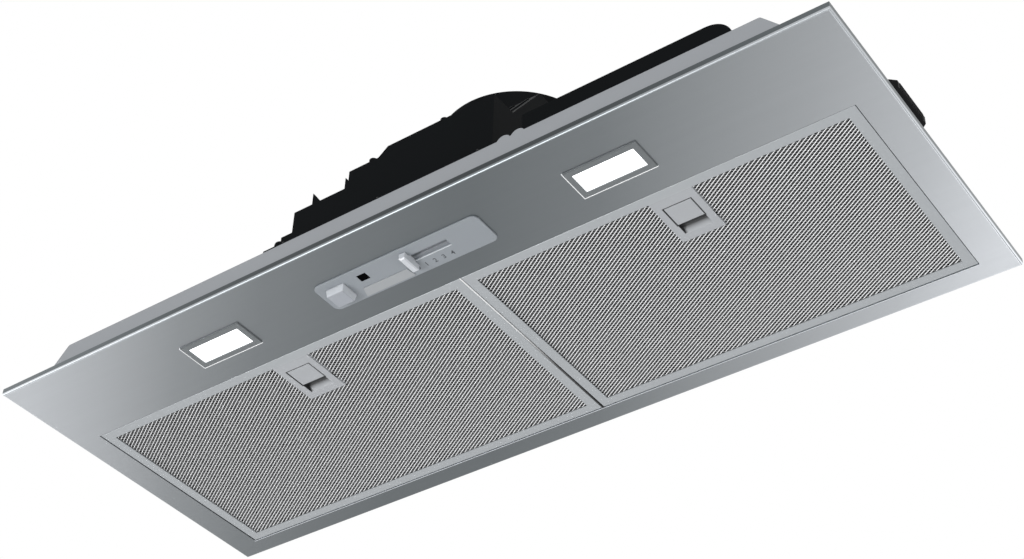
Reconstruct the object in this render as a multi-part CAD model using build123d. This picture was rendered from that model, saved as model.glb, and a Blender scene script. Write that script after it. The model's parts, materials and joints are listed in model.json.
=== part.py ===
from build123d import *
import math
import os

# Canopy hood insert, millimetres. Origin: centre of the cabinet cut-out, on the plane where the
# rim bears against the underside of the cabinet. +X right, +Y to the wall, +Z up into the cabinet.

# ---- driving dimensions -------------------------------------------------------------------
face_length = 700.0
face_depth = 280.0
rim_height = 6.0            # folded rim, from the face up to the cabinet
sheet = 0.8                 # steel sheet
rim_return = 9.0            # rim folded inwards, bears on the cabinet
rim_radius = 2.0            # rounded lower edge of the rim

bay_front = 79.5            # face's front edge to the opening for both filters
bay_rear = 17.5             # opening to the face's rear edge
bay_side = 24.0             # opening to the face's ends
bay_lip = 4.5               # upturned edge of the opening
divider_place = 22.0        # seam between the filters, right of the middle
divider_width = 1.0
divider_gap = 0.5           # divider to each filter
divider_hook = 4.0          # how far its end tabs reach over the lips
filter_gap = 0.7            # clearance between a filter and the opening

chassis_edge = 12.0         # face's front and rear edges to the chassis
chassis_side = 19.0         # face's ends to the chassis foot
chassis_draft = 32.0        # each end leans in this much up to the top plate
chassis_height = 28.5       # top plate above the cabinet plane
chassis_knee = (17.0, 6.5, 11.5)   # sloped end: flare's reach, its start and its end height
chassis_bend = 3.2          # rounded bend at the top plate's ends
chassis_rail = 9.0          # foot flange along the front
end_skin = (0.55, 0.4)      # sloped end's skin: shares of the sheet at the top plate and the knee
tab_places = (106.0, 117.5)        # two half-round tabs on the front wall
tab_radius = 6.0
tab_rise = 3.0              # how far they stand above the top plate

filter_thickness = 9.0
filter_border = 8.0
filter_wall = 0.7
filter_set_in = 0.3         # frame lies this much above the face plane
hook_gap = 0.3              # lip to the hooks and tongues above it
mesh_thickness = 0.8
core_sheets = 3             # expanded sheets between the nets
core_thickness = 0.4
mesh_pitch = (13.2, 13.9)   # hole to hole in the lower net; the upper net is twice as coarse
mesh_web = 2.2              # metal left between holes
mesh_margin = 7.0           # how far mesh and core reach into the frame's channel
latch_gap = 0.3             # between the latch plate and the layers round it
tab_inset = 66.0            # rear hooks, from the filter's ends
tab_width = 14.0
tab_thickness = 1.0
tab_reach = 4.8             # beyond the frame's rear wall
tab_play = 0.1              # hook to the slot's edges and to the frame's wall
tab_foot = 0.2              # thickness of the foot inside the frame

latch_offset = 12.6         # latch to the right of the filter's middle
latch_width = 33.0
latch_length = 44.5
latch_height = 8.2
button_width = 20.6
button_length = 18.4
button_inset = 9.2          # latch plate's front edge to the button
button_thickness = 2.2
button_gap = 0.35
button_round = 0.4
tongue_reach = 0.1          # past the frame's front wall
button_travel = 5.0
scoop_flat = 5.6            # finger scoop behind the button
scoop_slope = 5.0
scoop_depth = 3.8
scoop_roof = 0.5            # web between the scoop and the channel above it
tongue_width = 12.0
tongue_thickness = 2.2
crossbar_width = 14.0       # the springs push on it
crossbar_depth = 3.0
crossbar_height = 2.9
rib_width = 6.0
rib_depth = 1.0             # latch plate's floor where the rib's slot starts
spring_offset = 4.5
latch_spring_radius = 1.4
latch_spring_bore = 0.9
latch_spring_length = 10.0

lamp_offset = 168.0
lamp_from_front = 44.9
lens_length = 47.0
lens_depth = 18.2
lens_thickness = 2.0
lens_gap = 0.1
bezel_border = 4.7
bezel_proud = 0.9
bezel_collar = 1.6          # wall that passes through the face
collar_play = 0.1
collar_reach = 1.0          # collar above the steel
module_height = 9.0
module_fins = 6
module_fin = 1.6

plate_length = 141.0
plate_depth = 29.0
plate_from_front = 45.5
plate_radius = 5.0
plate_proud = 1.2
plate_plug = 3.0            # how far the plate reaches in behind the face
plug_border = 2.6
plug_play = 0.15
knob_x = -55.3
knob_length = 15.4
knob_depth = 15.0
knob_taper = 0.8
knob_round = 0.7
knob_proud = 6.0
knob_gap = 0.3
knob_travel = 3.0
window_place = (-31.8, -5.0)
window_size = (7.8, 6.7)
window_play = 0.05
window_sunk = 0.2
pad_span = (-42.0, -1.0)    # raised bare pad on the plate
pad_place = (4.3, 12.6)
pad_slant = 3.0
pad_proud = 0.5
slider_first = 6.3          # lever's place at 0
slider_pitch = 7.35
slider_steps = 4
slot_y = -2.3
slot_width = 6.8
slot_depth = 1.6
slot_end = 1.6              # slot's end to the lever at its last place
slit_width = 2.0
slit_end = 1.0              # slit's end to the slot's end
slider_foot = 4.0           # keeps the lever in its slit
foot_height = 1.2
knob_flange = 1.0
lever_width = 5.0
lever_length = 16.5
lever_proud = 5.2
lever_edge = 0.9
lever_sunk = 0.3            # lever's foot above the plate's face
switch_depth = 15.0         # switch housing behind the plate
switch_border = 2.0

plastic = 2.5               # blower housing wall
blower_left = -96.0
blower_right = 91.0
blower_edge = 8.0           # chassis wall to the blower's front and back walls
tray_top = 45.0
tray_flange = 7.0
tray_flange_thickness = 2.5
tray_ear = 9.0              # flange at the left end, carries the corner boss
ear_boss = (4.3, 44.8, 3.0) # corner boss: radius, top and dome
cover_left = -86.0
cover_steps = ((-36.5, 64.0, 118.0), (-2.0, 79.0, 132.0), (blower_right, 86.0, 132.0))
ramp_run = 8.0              # gusset before the last step
cover_shelf = 22.0          # level front part of each step; a step has its end, front and roof height
cover_back = 96.0
roof_z = 132.0
roof_half = 66.0
boss_places = ((-17.0, 82.0), (46.0, 88.0))
boss_radius = 3.2
fin_places = (-69.5, -39.5)
fin_size = (9.0, 10.6)

outlet_x = 25.0
outlet_radius = 62.5        # for a 125 mm duct
outlet_wall = 2.0
outlet_top = 164.0
outlet_flange = 65.5
flap_level = 146.0
flap_thickness = 1.2
flap_clearance = 1.0
flap_seat = 3.5
flap_pin_radius = 1.5
flap_barrel = 2.8
flap_knuckle = 14.0
knuckle_gap = 0.6
pin_end = 0.2               # pin's end to the duct's wall
flap_lift = 0.3             # flap above its seat
flap_run = 0.05

volute_width = 90.0
volute_from_front = 89.0    # blower's front wall to the fan's axis
volute_z = 78.0
volute_start = 51.0
volute_growth = 5.0         # added at each quarter turn
volute_wall = 2.0
inlet_radius = 36.0
impeller_radius = 45.0
impeller_inset = 8.0
impeller_blades = 36
blade_thickness = 1.0
blade_depth = 9.0
blade_inset = 0.5
disc_thickness = 2.0
hub_radius = 12.0
hub_length = 20.0
shaft_radius = 4.0
shaft_run = 0.05
shaft_stub = 2.0            # shaft past the motor and past the hub
motor_radius = 31.0
motor_nose = 4.0
motor_nose_radius = 26.0
motor_length = 40.0
motor_gap = 8.0             # motor's face to the volute
bracket_radius = 43.0
bracket_thickness = 2.5
bracket_arm = 10.0
bush_radius = 4.0

box_left = 115.0
box_right = 276.0
box_back = -62.0
box_round = 20.0            # rounded top of the right end
box_wall = 2.0
box_top = 52.5
board_margin = 8.0
board_level = 33.0
board_thickness = 1.6
board_post = 2.5
post_inset = 5.0
capacitor_radius = 7.0
capacitor_length = 42.0
capacitor_back = 6.0        # in front of the board's middle
terminal_size = (28.0, 14.0, 12.0)
terminal_inset = 3.0        # from the board's rear edge
terminal_ways = 3
terminal_hole = (2.2, 5.0)
gland_x = 215.0
gland_z = 37.0
gland_radius = 8.0
gland_neck = 5.9            # part that passes through the wall
gland_hole = 6.0
gland_inside = 4.0
gland_bore = 4.0
gland_length = 14.0

clip_y = -10.5
clip_length = 40.0
clip_out = 3.6              # pivot, outside the chassis wall
clip_pivot_z = 5.0
clip_pin_radius = 1.2
clip_run = 0.08
clip_barrel = 2.4
clip_nose_out = 13.0
clip_nose_z = (14.5, 25.0, 31.0)   # slope that bears on the panel, its end, and the nose's top
clip_top = 37.0
clip_arm = 2.4
clip_corner = 2.0
ear_thickness = 1.6
ear_gap = 0.4
clip_plate = 0.8
clip_spring_gap = 12.0
clip_spring_radius = 2.1

screw_head = 2.8
screw_head_height = 2.0
screw_round = 0.8
screw_inset = 8.0
screw_shank = 1.6
screw_hole = 1.75
screw_length = 6.0

tolerance = 0.01
over = 1.0                  # how far a cutting shape runs past what it cuts

# ---- worked out ---------------------------------------------------------------------------
face_z = -rim_height
face_top = face_z + sheet
front = -face_depth / 2
bay_length = face_length - 2 * bay_side
bay_depth = face_depth - bay_front - bay_rear
bay_y0 = front + bay_front
bay_y1 = bay_y0 + bay_depth
bay_y = (bay_y0 + bay_y1) / 2
lip_top = face_z + bay_lip
filter_z0 = face_z + filter_set_in
filter_z1 = filter_z0 + filter_thickness
filter_y0 = bay_y0 + filter_gap
filter_y1 = bay_y1 - filter_gap
hook_z = lip_top + hook_gap
collar_top = face_top + collar_reach
lamp_y = front + lamp_from_front
plate_y = front + plate_from_front
plate_z = face_z - plate_proud
plug_top = face_z + plate_plug
chassis_foot = face_length - 2 * chassis_side
wall_y = face_depth / 2 - chassis_edge
blower_half = wall_y - blower_edge
volute_y = volute_from_front - blower_half
volute_left = outlet_x - volute_width / 2
volute_right = outlet_x + volute_width / 2
duct_y0 = volute_y - volute_growth / 2
duct_y1 = volute_y + volute_growth / 2 + volute_start + 2 * volute_growth
button_y = filter_y0 + filter_border + button_inset
button_back = button_y + button_length


def block(x0, x1, y0, y1, z0, z1):
    """Box between two corners."""
    return Pos((x0 + x1) / 2, (y0 + y1) / 2, (z0 + z1) / 2) * Box(x1 - x0, y1 - y0, z1 - z0)


def slab(x, y, length, depth, z0, z1):
    """Box centred on x, y."""
    return block(x - length / 2, x + length / 2, y - depth / 2, y + depth / 2, z0, z1)


def rounded_slab(x, y, length, depth, radius, z0, z1):
    face = Pos(x, y, z0) * RectangleRounded(length, depth, radius)
    return extrude(face, z1 - z0)


def rod(x, y, z0, z1, radius):
    """Upright cylinder."""
    return Pos(x, y, (z0 + z1) / 2) * Cylinder(radius, z1 - z0)


def rod_x(x0, x1, y, z, radius):
    return Pos((x0 + x1) / 2, y, z) * Rot(0, 90, 0) * Cylinder(radius, x1 - x0)


def rod_y(x, y0, y1, z, radius):
    return Pos(x, (y0 + y1) / 2, z) * Rot(90, 0, 0) * Cylinder(radius, y1 - y0)


def prism_y(points, y0, y1):
    """Outline in X and Z, drawn out along Y."""
    face = make_face(Plane.XZ * Polyline(*points, close=True))
    return Pos(0, y0, 0) * extrude(face, y1 - y0, dir=(0, 1, 0))


def prism_x(points, x0, x1):
    """Outline in Y and Z, drawn out along X."""
    face = make_face(Plane.YZ * Polyline(*points, close=True))
    return Pos(x0, 0, 0) * extrude(face, x1 - x0, dir=(1, 0, 0))


def edges_at(shape, z):
    """Edges whose middle lies at height z."""
    return shape.edges().filter_by_position(Axis.Z, z - tolerance, z + tolerance)


def mirrored(shape):
    return mirror(shape, Plane.YZ)


# ---- face and chassis ---------------------------------------------------------------------
def face_panel():
    outer = slab(0, 0, face_length, face_depth, face_z, 0)
    outer = fillet(edges_at(outer, face_z), rim_radius)
    inner = slab(0, 0, face_length - 2 * sheet, face_depth - 2 * sheet, face_top, -sheet)
    inner = fillet(edges_at(inner, face_top), rim_radius - sheet)
    mouth = slab(0, 0, face_length - 2 * rim_return, face_depth - 2 * rim_return, -2 * sheet, sheet)
    pan = outer - inner - mouth
    lip = slab(0, bay_y, bay_length + 2 * sheet, bay_depth + 2 * sheet, face_z, lip_top)
    pan = pan + lip - slab(0, bay_y, bay_length, bay_depth, face_z - sheet, lip_top + sheet)
    plug_length = plate_length - 2 * plug_border
    plug_depth = plate_depth - 2 * plug_border
    pan -= slab(0, plate_y, plug_length, plug_depth, face_z - sheet, face_top + sheet)
    for side in (-1, 1):
        hole_length = lens_length + 2 * bezel_collar
        hole_depth = lens_depth + 2 * bezel_collar
        pan -= slab(side * lamp_offset, lamp_y, hole_length, hole_depth, face_z - sheet, face_top + sheet)
    return pan


def chassis_outline(inset):
    """Half-open outline of the pressed tray; inset gives its inner skin."""
    flare, knee_low, knee_high = chassis_knee
    foot = chassis_foot / 2 - inset
    skin_top, skin_knee = end_skin
    top = chassis_foot / 2 - chassis_draft - inset * skin_top
    z_top = chassis_height - inset
    z_foot = face_top if inset == 0 else face_top - sheet
    right = [
        (foot, z_foot),
        (foot, knee_low - inset * skin_knee),
        (foot - flare, knee_high - inset),
        (top, z_top),
    ]
    return right + [(-x, z) for x, z in reversed(right)]


def chassis():
    tray = prism_y(chassis_outline(0), -wall_y, wall_y)
    tray = fillet(edges_at(tray, chassis_height).filter_by(Axis.Y), chassis_bend)
    body = tray - prism_y(chassis_outline(sheet), -wall_y + sheet, wall_y - sheet)
    rail = slab(0, 0, chassis_foot - 2 * sheet, 2 * (wall_y - sheet), face_top, face_top + sheet)
    clear_length = bay_length + 4 * sheet
    rail -= block(-clear_length / 2, clear_length / 2, -wall_y + chassis_rail, bay_y1 + 2 * sheet,
                  face_top - sheet, face_top + 2 * sheet)
    body += rail
    body -= block(blower_left + tray_flange, blower_right - tray_flange, -blower_half + tray_flange,
                  blower_half - tray_flange, chassis_height - 2 * sheet, chassis_height + sheet)
    for x in tab_places:
        tab = rod_y(x, -wall_y, -wall_y + sheet, chassis_height + tab_rise - tab_radius, tab_radius)
        body += tab - block(x - tab_radius, x + tab_radius, -wall_y - sheet, -wall_y + 2 * sheet,
                            chassis_height - 3 * tab_radius, chassis_height - sheet)
    for x, y in blower_screw_places():
        body -= rod(x, y, chassis_height - 2 * sheet, chassis_height + sheet, screw_hole)
    return body


def bay_divider():
    x0 = divider_place - divider_width / 2
    x1 = divider_place + divider_width / 2
    bar = block(x0, x1, bay_y0, bay_y1, face_z, lip_top)
    hook = block(x0, x1, bay_y0 - divider_hook, bay_y1 + divider_hook, lip_top, lip_top + 2 * sheet)
    return bar + hook


# ---- grease filters -----------------------------------------------------------------------
def filter_span(side):
    """Ends of a filter, from the divider to the opening's wall."""
    seam = divider_place + side * (divider_width / 2 + divider_gap)
    wall = side * (bay_length / 2 - filter_gap)
    return min(seam, wall), max(seam, wall)


def filter_middle(side):
    x0, x1 = filter_span(side)
    return (x0 + x1) / 2


def latch_middle(side):
    return filter_middle(side) + latch_offset


def tab_middles(side):
    x0, x1 = filter_span(side)
    return x0 + tab_inset, x1 - tab_inset


def frame_inside(side, reach):
    """Plan of the frame's opening, grown by reach into its channel."""
    x0, x1 = filter_span(side)
    border = filter_border - reach
    return x0 + border, x1 - border, filter_y0 + border, filter_y1 - border


def channel_box(side, reach, z0, z1):
    return block(*frame_inside(side, reach), z0, z1)


def latch_room(side, gap, z0, z1):
    y0 = filter_y0 + filter_border
    half = latch_width / 2 + gap
    x = latch_middle(side)
    return block(x - half, x + half, filter_y0, y0 + latch_length + gap, z0, z1)


def filter_frame(side):
    x0, x1 = filter_span(side)
    outer = block(x0, x1, filter_y0, filter_y1, filter_z0, filter_z1)
    outer = fillet(edges_at(outer, filter_z0), filter_wall / 2)
    ring = outer - channel_box(side, 0, filter_z0 - over, filter_z1 + over)
    ring -= channel_box(side, filter_border - filter_wall, filter_z0 + filter_wall, filter_z1 - filter_wall)
    half = tongue_width / 2 + button_gap
    x = latch_middle(side)
    ring -= block(x - half, x + half, filter_y0 - over, filter_y0 + 2 * filter_wall,
                  latch_channel()[0], hook_z + tongue_thickness + button_gap)
    for tab_x in tab_middles(side):
        ring -= slab(tab_x, filter_y1, tab_width + 4 * tab_play, 4 * filter_wall,
                     hook_z - tab_play, hook_z + tab_thickness + tab_play)
    return ring


def net_outline(side):
    """Plan of a flat net, notched round the latch."""
    x0, x1, y0, y1 = frame_inside(side, mesh_margin)
    half = latch_width / 2 + latch_gap
    y = filter_y0 + filter_border + latch_length + latch_gap
    x = latch_middle(side)
    return [(x1, y0), (x1, y1), (x0, y1), (x0, y0),
            (x - half, y0), (x - half, y), (x + half, y), (x + half, y0)]


def net_holes(side, coarse):
    """Staggered diamond holes inside the frame's opening, clear of the latch."""
    x0, x1, y0, y1 = frame_inside(side, 0)
    columns = round((x1 - x0) / (coarse * mesh_pitch[0]))
    rows = round((y1 - y0) / (coarse * mesh_pitch[1]))
    pitch_x = (x1 - x0) / columns
    pitch_y = (y1 - y0) / rows
    reach_x = (pitch_x - mesh_web) / 2
    reach_y = (pitch_y - mesh_web) / 2
    holes = []
    for row in range(rows):
        y = y0 + (row + 0.5) * pitch_y
        for column in range(columns):
            x = x0 + (column + (0.25 if row % 2 else 0.75)) * pitch_x
            inside = x0 < x - reach_x and x + reach_x < x1
            beside = abs(x - latch_middle(side)) > latch_width / 2 + pitch_x / 2
            behind = y > filter_y0 + filter_border + latch_length + pitch_y / 2
            if inside and (beside or behind):
                corners = [(x + reach_x, y), (x, y + reach_y), (x - reach_x, y), (x, y - reach_y)]
                holes.append(Wire.make_polygon([(u, v, 0) for u, v in corners], close=True))
    return holes


def holed_net(side, z0, coarse):
    """Flat net: one holed face, drawn out to its thickness."""
    outline = Wire.make_polygon([(u, v, 0) for u, v in net_outline(side)], close=True)
    face = Face(outline, net_holes(side, coarse))
    return Pos(0, 0, z0) * extrude(face, mesh_thickness, dir=(0, 0, 1))


def filter_face_mesh(side):
    return holed_net(side, filter_z0 + filter_wall, 1)


def filter_back_mesh(side):
    return holed_net(side, filter_z1 - filter_wall - mesh_thickness, 2)


def filter_core(side):
    """Sheets held by their edges in the frame's channel."""
    z0 = filter_z0 + filter_wall + mesh_thickness
    z1 = filter_z1 - filter_wall - mesh_thickness
    pitch = (z1 - z0) / core_sheets
    sheets = []
    for k in range(core_sheets):
        z = z0 + (k + 0.5) * pitch - core_thickness / 2
        core = channel_box(side, mesh_margin, z, z + core_thickness)
        sheets.append(core - latch_room(side, latch_gap, z0, z1))
    return Compound(children=sheets)


def rear_tabs(side):
    """Two bent hooks that pass through the frame's rear wall and lie on the opening's lip."""
    tabs = []
    for x in tab_middles(side):
        y0 = filter_y1 - filter_wall - tab_play
        half = tab_width / 2
        hook = block(x - half, x + half, y0, filter_y1 + tab_reach, hook_z, hook_z + tab_thickness)
        foot = block(x - half, x + half, y0 - tab_foot, filter_y1 - filter_wall, hook_z,
                     filter_z1 - filter_wall)
        tabs.append(hook + foot)
    return Compound(children=tabs)


def latch_channel():
    """Floor and roof of the channel that the tongue and its springs run in."""
    floor = filter_z0 + scoop_depth + scoop_roof
    return floor, hook_z + crossbar_height + (hook_z - floor)


def latch_plate(side):
    """Latch body: recess for the button, finger scoop behind it, channel for tongue and springs."""
    x = latch_middle(side)
    z0 = filter_z0
    z1 = filter_z0 + latch_height
    y0 = filter_y0 + filter_border
    half = latch_width / 2
    body = block(x - half, x + half, y0, y0 + latch_length, z0, z1)
    body += block(x - half, x + half, filter_y0 + filter_wall, y0, z0 + filter_wall, z1)
    half = button_width / 2 + button_gap
    deep = button_back + scoop_flat
    end = deep + scoop_slope
    body -= block(x - half, x + half, button_y - button_gap, deep, z0 - over, z0 + scoop_depth)
    ramp = [(deep, z0 - over), (deep, z0 + scoop_depth), (end, z0), (end, z0 - over)]
    body -= prism_x(ramp, x - half, x + half)
    floor, roof = latch_channel()
    half = tongue_width / 2 + button_gap
    body -= block(x - half, x + half, filter_y0, button_y, floor, hook_z + tongue_thickness + button_gap)
    half = crossbar_width / 2 + button_gap
    bar_end = button_y + crossbar_depth + button_travel + button_gap
    body -= block(x - half, x + half, button_y - button_gap, bar_end + latch_spring_length, floor, roof)
    half = rib_width / 2 + button_gap
    return body - block(x - half, x + half, button_y - button_gap, bar_end, z0 + rib_depth, floor + over)


def latch_button(side):
    """Flush button, its tongue and the crossbar that the springs push; slides back over the scoop."""
    x = latch_middle(side)
    z0 = filter_z0
    z1 = z0 + button_thickness
    bar_back = button_y + crossbar_depth
    cap = block(x - button_width / 2, x + button_width / 2, button_y, button_back, z0, z1)
    cap = fillet(edges_at(cap, z0), button_round)
    rib = block(x - rib_width / 2, x + rib_width / 2, button_y, bar_back, z1, hook_z)
    bar = block(x - crossbar_width / 2, x + crossbar_width / 2, button_y, bar_back, hook_z,
                hook_z + crossbar_height)
    tongue = block(x - tongue_width / 2, x + tongue_width / 2, filter_y0 - tongue_reach, button_y,
                   hook_z, hook_z + tongue_thickness)
    return cap + rib + bar + tongue


def latch_spring(side):
    """Two plain sleeves in place of the hidden coils, at their pressed length."""
    floor, roof = latch_channel()
    y0 = button_y + crossbar_depth + button_travel + button_gap
    y1 = y0 + latch_spring_length
    z = (floor + roof) / 2
    sleeves = []
    for dx in (-spring_offset, spring_offset):
        x = latch_middle(side) + dx
        sleeve = rod_y(x, y0, y1, z, latch_spring_radius)
        sleeves.append(sleeve - rod_y(x, y0 - over, y1 + over, z, latch_spring_bore))
    return Compound(children=sleeves)


# ---- lamps --------------------------------------------------------------------------------
def lamp_bezel(side):
    x = side * lamp_offset
    z0 = face_z - bezel_proud
    ring = slab(x, lamp_y, lens_length + 2 * bezel_border, lens_depth + 2 * bezel_border, z0, face_z)
    ring = chamfer(edges_at(ring, z0), bezel_proud / 2)
    wall = 2 * (bezel_collar - collar_play)
    collar = slab(x, lamp_y, lens_length + wall, lens_depth + wall, face_z, collar_top)
    return ring + collar - slab(x, lamp_y, lens_length, lens_depth, z0 - over, collar_top + over)


def lamp_lens(side):
    length = lens_length - 2 * lens_gap
    depth = lens_depth - 2 * lens_gap
    return slab(side * lamp_offset, lamp_y, length, depth, collar_top - lens_thickness, collar_top)


def lamp_module(side):
    """LED module: tray on the bezel's collar with a finned back."""
    x = side * lamp_offset
    length = lens_length + 2 * bezel_collar
    depth = lens_depth + 2 * bezel_collar
    body_top = collar_top + module_height / 2
    can = slab(x, lamp_y, length, depth, collar_top, body_top)
    for k in range(module_fins):
        fin_x = x - length / 2 + (k + 0.5) * length / module_fins
        can += slab(fin_x, lamp_y, module_fin, depth, body_top, collar_top + module_height)
    return can


# ---- controls -----------------------------------------------------------------------------
def slot_span():
    reach = lever_width / 2 + slot_end
    return slider_first - reach, slider_first + slider_steps * slider_pitch + reach


def control_plate():
    plug_length = plate_length - 2 * plug_border
    plug_depth = plate_depth - 2 * plug_border
    plate = rounded_slab(0, plate_y, plate_length, plate_depth, plate_radius, plate_z, face_z)
    plate = fillet(edges_at(plate, plate_z), plate_proud / 3)
    plate += slab(0, plate_y, plug_length - 2 * plug_play, plug_depth - 2 * plug_play, face_z, plug_top)
    left, right = pad_span
    low = plate_y + pad_place[0]
    high = plate_y + pad_place[1]
    pad = make_face(Polyline((left + pad_slant, low), (right, low), (right + pad_slant / 2, high),
                             (left, high), close=True))
    plate += extrude(Pos(0, 0, plate_z - pad_proud) * pad, pad_proud)
    z0 = plate_z - over
    z1 = plug_top + over
    plate -= slab(knob_x, plate_y, knob_length + 2 * knob_gap, knob_depth + 2 * knob_gap, z0, z1)
    plate -= slab(window_place[0], plate_y + window_place[1], window_size[0], window_size[1], z0, z1)
    x0, x1 = slot_span()
    y = plate_y + slot_y
    plate -= block(x0, x1, y - slot_width / 2, y + slot_width / 2, z0, plate_z + slot_depth)
    return plate - block(x0 + slit_end, x1 - slit_end, y - slit_width / 2, y + slit_width / 2, z0, z1)


def indicator_window():
    length, depth = window_size
    return slab(window_place[0], plate_y + window_place[1], length - 2 * window_play,
                depth - 2 * window_play, plate_z + window_sunk, plug_top)


def switch_housing():
    border = plug_border + switch_border
    body = slab(0, plate_y, plate_length - 2 * border, plate_depth - 2 * border, plug_top,
                plug_top + switch_depth)
    room = 2 * (knob_flange + knob_gap)
    foot_room = foot_height + 2 * knob_gap
    body -= slab(knob_x, plate_y, knob_length + room, knob_depth + room, plug_top - over,
                 plug_top + foot_room + knob_travel)
    x0, x1 = slot_span()
    half = slider_foot / 2 + knob_gap
    y = plate_y + slot_y
    return body - block(x0, x1, y - half, y + half, plug_top - over, plug_top + foot_room)


def light_switch_knob():
    z0 = plate_z - knob_proud
    base = plate_z - over
    z1 = plug_top + knob_gap
    foot = slab(knob_x, plate_y, knob_length, knob_depth, base, z1)
    foot += slab(knob_x, plate_y, knob_length + 2 * knob_flange, knob_depth + 2 * knob_flange,
                 z1, z1 + foot_height)
    wide = Pos(knob_x, plate_y, base) * Rectangle(knob_length, knob_depth)
    narrow = Pos(knob_x, plate_y, z0) * Rectangle(knob_length - 2 * knob_taper, knob_depth - 2 * knob_taper)
    cap = loft([wide, narrow])
    return foot + fillet(edges_at(cap, z0), knob_round)


def speed_slider_knob():
    """Thin lever across the slot, on a stem that runs in the slit."""
    y = plate_y + slot_y
    z0 = plate_z - lever_sunk
    lever = slab(slider_first, y, lever_width, lever_length, z0 - lever_proud, z0)
    lever = chamfer(edges_at(lever, z0 - lever_proud), lever_edge)
    shoe = slab(slider_first, y, lever_width, slot_width - 2 * knob_gap, z0, plate_z + slot_depth - knob_gap)
    stem_end = plug_top + knob_gap
    stem = slab(slider_first, y, slit_width, slit_width - 2 * knob_gap, z0, stem_end)
    foot = slab(slider_first, y, slit_width, slider_foot, stem_end, stem_end + foot_height)
    return lever + shoe + stem + foot


# ---- blower -------------------------------------------------------------------------------
def blower_screw_places():
    inset = tray_flange / 2
    xs = (blower_left + screw_inset, (blower_left + blower_right) / 2, blower_right - screw_inset)
    return [(x, side * (blower_half + inset)) for x in xs for side in (-1, 1)]


def corner_boss():
    """Domed screw boss at the tray's front left corner."""
    radius, top, dome = ear_boss
    boss = rod(blower_left - radius, radius - blower_half, chassis_height, top, radius)
    return fillet(edges_at(boss, top), dome)


def blower_tray():
    z0 = chassis_height
    wall = block(blower_left, blower_right, -blower_half, blower_half, z0, tray_top)
    flange_half = blower_half + tray_flange
    flange = block(blower_left - tray_ear, blower_right, -flange_half, flange_half, z0,
                   z0 + tray_flange_thickness)
    core = block(blower_left + plastic, blower_right - plastic, -blower_half + plastic,
                 blower_half - plastic, z0 - over, tray_top + over)
    shoulder = block(blower_left, cover_left + plastic, -blower_half, blower_half,
                     tray_top - plastic, tray_top)
    body = wall + flange - core + shoulder + corner_boss()
    for x, y in blower_screw_places():
        body -= rod(x, y, z0 - over, z0 + tray_flange_thickness + over, screw_hole)
    return body


def cover_volume(inset):
    """Stepped housing volume; inset gives its inner skin."""
    half = blower_half - inset
    foot = tray_top - inset
    roof_y = roof_half - inset / 2
    x0 = cover_left + inset
    steps = []
    for x1, z_front, z_roof in cover_steps:
        end = min(x1 + inset, blower_right - inset)
        level = z_front - inset
        roof = z_roof - inset
        outline = [(-half, foot), (-half, level), (inset / 2 + cover_shelf - blower_half, level),
                   (-roof_y, roof), (roof_y, roof), (half, cover_back - inset), (half, foot)]
        steps.append(prism_x(outline, x0, end))
        x0 = end
    return steps[0] + steps[1:]


def blower_cover():
    """Stepped cover: duct's mouth in its roof, and two bosses, two fins and a gusset at the front."""
    body = cover_volume(0) - cover_volume(plastic)
    body -= block(volute_left + volute_wall, volute_right - volute_wall, duct_y0 + volute_wall,
                  duct_y1 - volute_wall, roof_z - 2 * plastic, roof_z + over)
    for x, z in boss_places:
        body += rod(x, boss_radius - blower_half, tray_top, z, boss_radius)
    width, height = fin_size
    z = cover_steps[0][1]
    for x in fin_places:
        fin = [(x, z - plastic), (x, z + height), (x + width, z - plastic)]
        body += prism_y(fin, -blower_half, plastic - blower_half)
    step_x, step_z, _ = cover_steps[1]
    ramp = [(step_x - ramp_run, step_z - plastic), (step_x - ramp_run, step_z),
            (step_x, cover_steps[2][1] - tolerance), (step_x, step_z - plastic)]
    return body + prism_y(ramp, -blower_half, plastic - blower_half)


def outlet_spigot():
    tube = rod(outlet_x, 0, roof_z, outlet_top, outlet_radius)
    flange = rod(outlet_x, 0, roof_z, roof_z + plastic, outlet_flange)
    inner = outlet_radius - outlet_wall
    body = tube + flange - rod(outlet_x, 0, roof_z - over, outlet_top + over, inner)
    seat_z = flap_level - flap_barrel
    seat = rod(outlet_x, 0, seat_z - outlet_wall, seat_z, inner)
    body += seat - rod(outlet_x, 0, seat_z - outlet_wall - over, seat_z + over, inner - flap_seat)
    for side in (-1, 1):
        x = outlet_x + side * (inner - flap_seat)
        body += slab(x, 0, flap_seat, 2 * flap_barrel, seat_z, flap_level)
        body += rod_x(x - flap_seat / 2, x + flap_seat / 2, 0, flap_level, flap_barrel)
    reach = inner - pin_end
    return body - rod_x(outlet_x - reach, outlet_x + reach, 0, flap_level, flap_pin_radius)


def flap_pin():
    reach = outlet_radius - outlet_wall - pin_end
    return rod_x(outlet_x - reach, outlet_x + reach, 0, flap_level, flap_pin_radius)


def damper_flap(side):
    """Half disc with knuckles round the pin; side -1 opens at the front, 1 at the back."""
    inner = outlet_radius - outlet_wall - flap_clearance
    near = flap_barrel + knuckle_gap
    far = inner + over
    z0 = flap_level - flap_barrel + flap_lift
    z1 = z0 + flap_thickness
    half = block(-far, far, near, far, z0, z1)
    body = rod(0, 0, z0, z1, inner) & half
    reach = inner - 2 * flap_seat
    first = -3.5 if side > 0 else -2.5
    for k in range(4):
        x0 = (first + 2 * k) * flap_knuckle
        x1 = x0 + flap_knuckle - knuckle_gap
        if abs(x0) < reach and abs(x1) < reach:
            body += rod_x(x0, x1, 0, flap_level, flap_barrel)
            body += block(x0, x1, 0, near + over, z0, z1)
    body -= rod_x(-far, far, 0, flap_level, flap_pin_radius + flap_run)
    if side < 0:
        body = mirror(body, Plane.XZ)
    return Pos(outlet_x, 0, 0) * body


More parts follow.
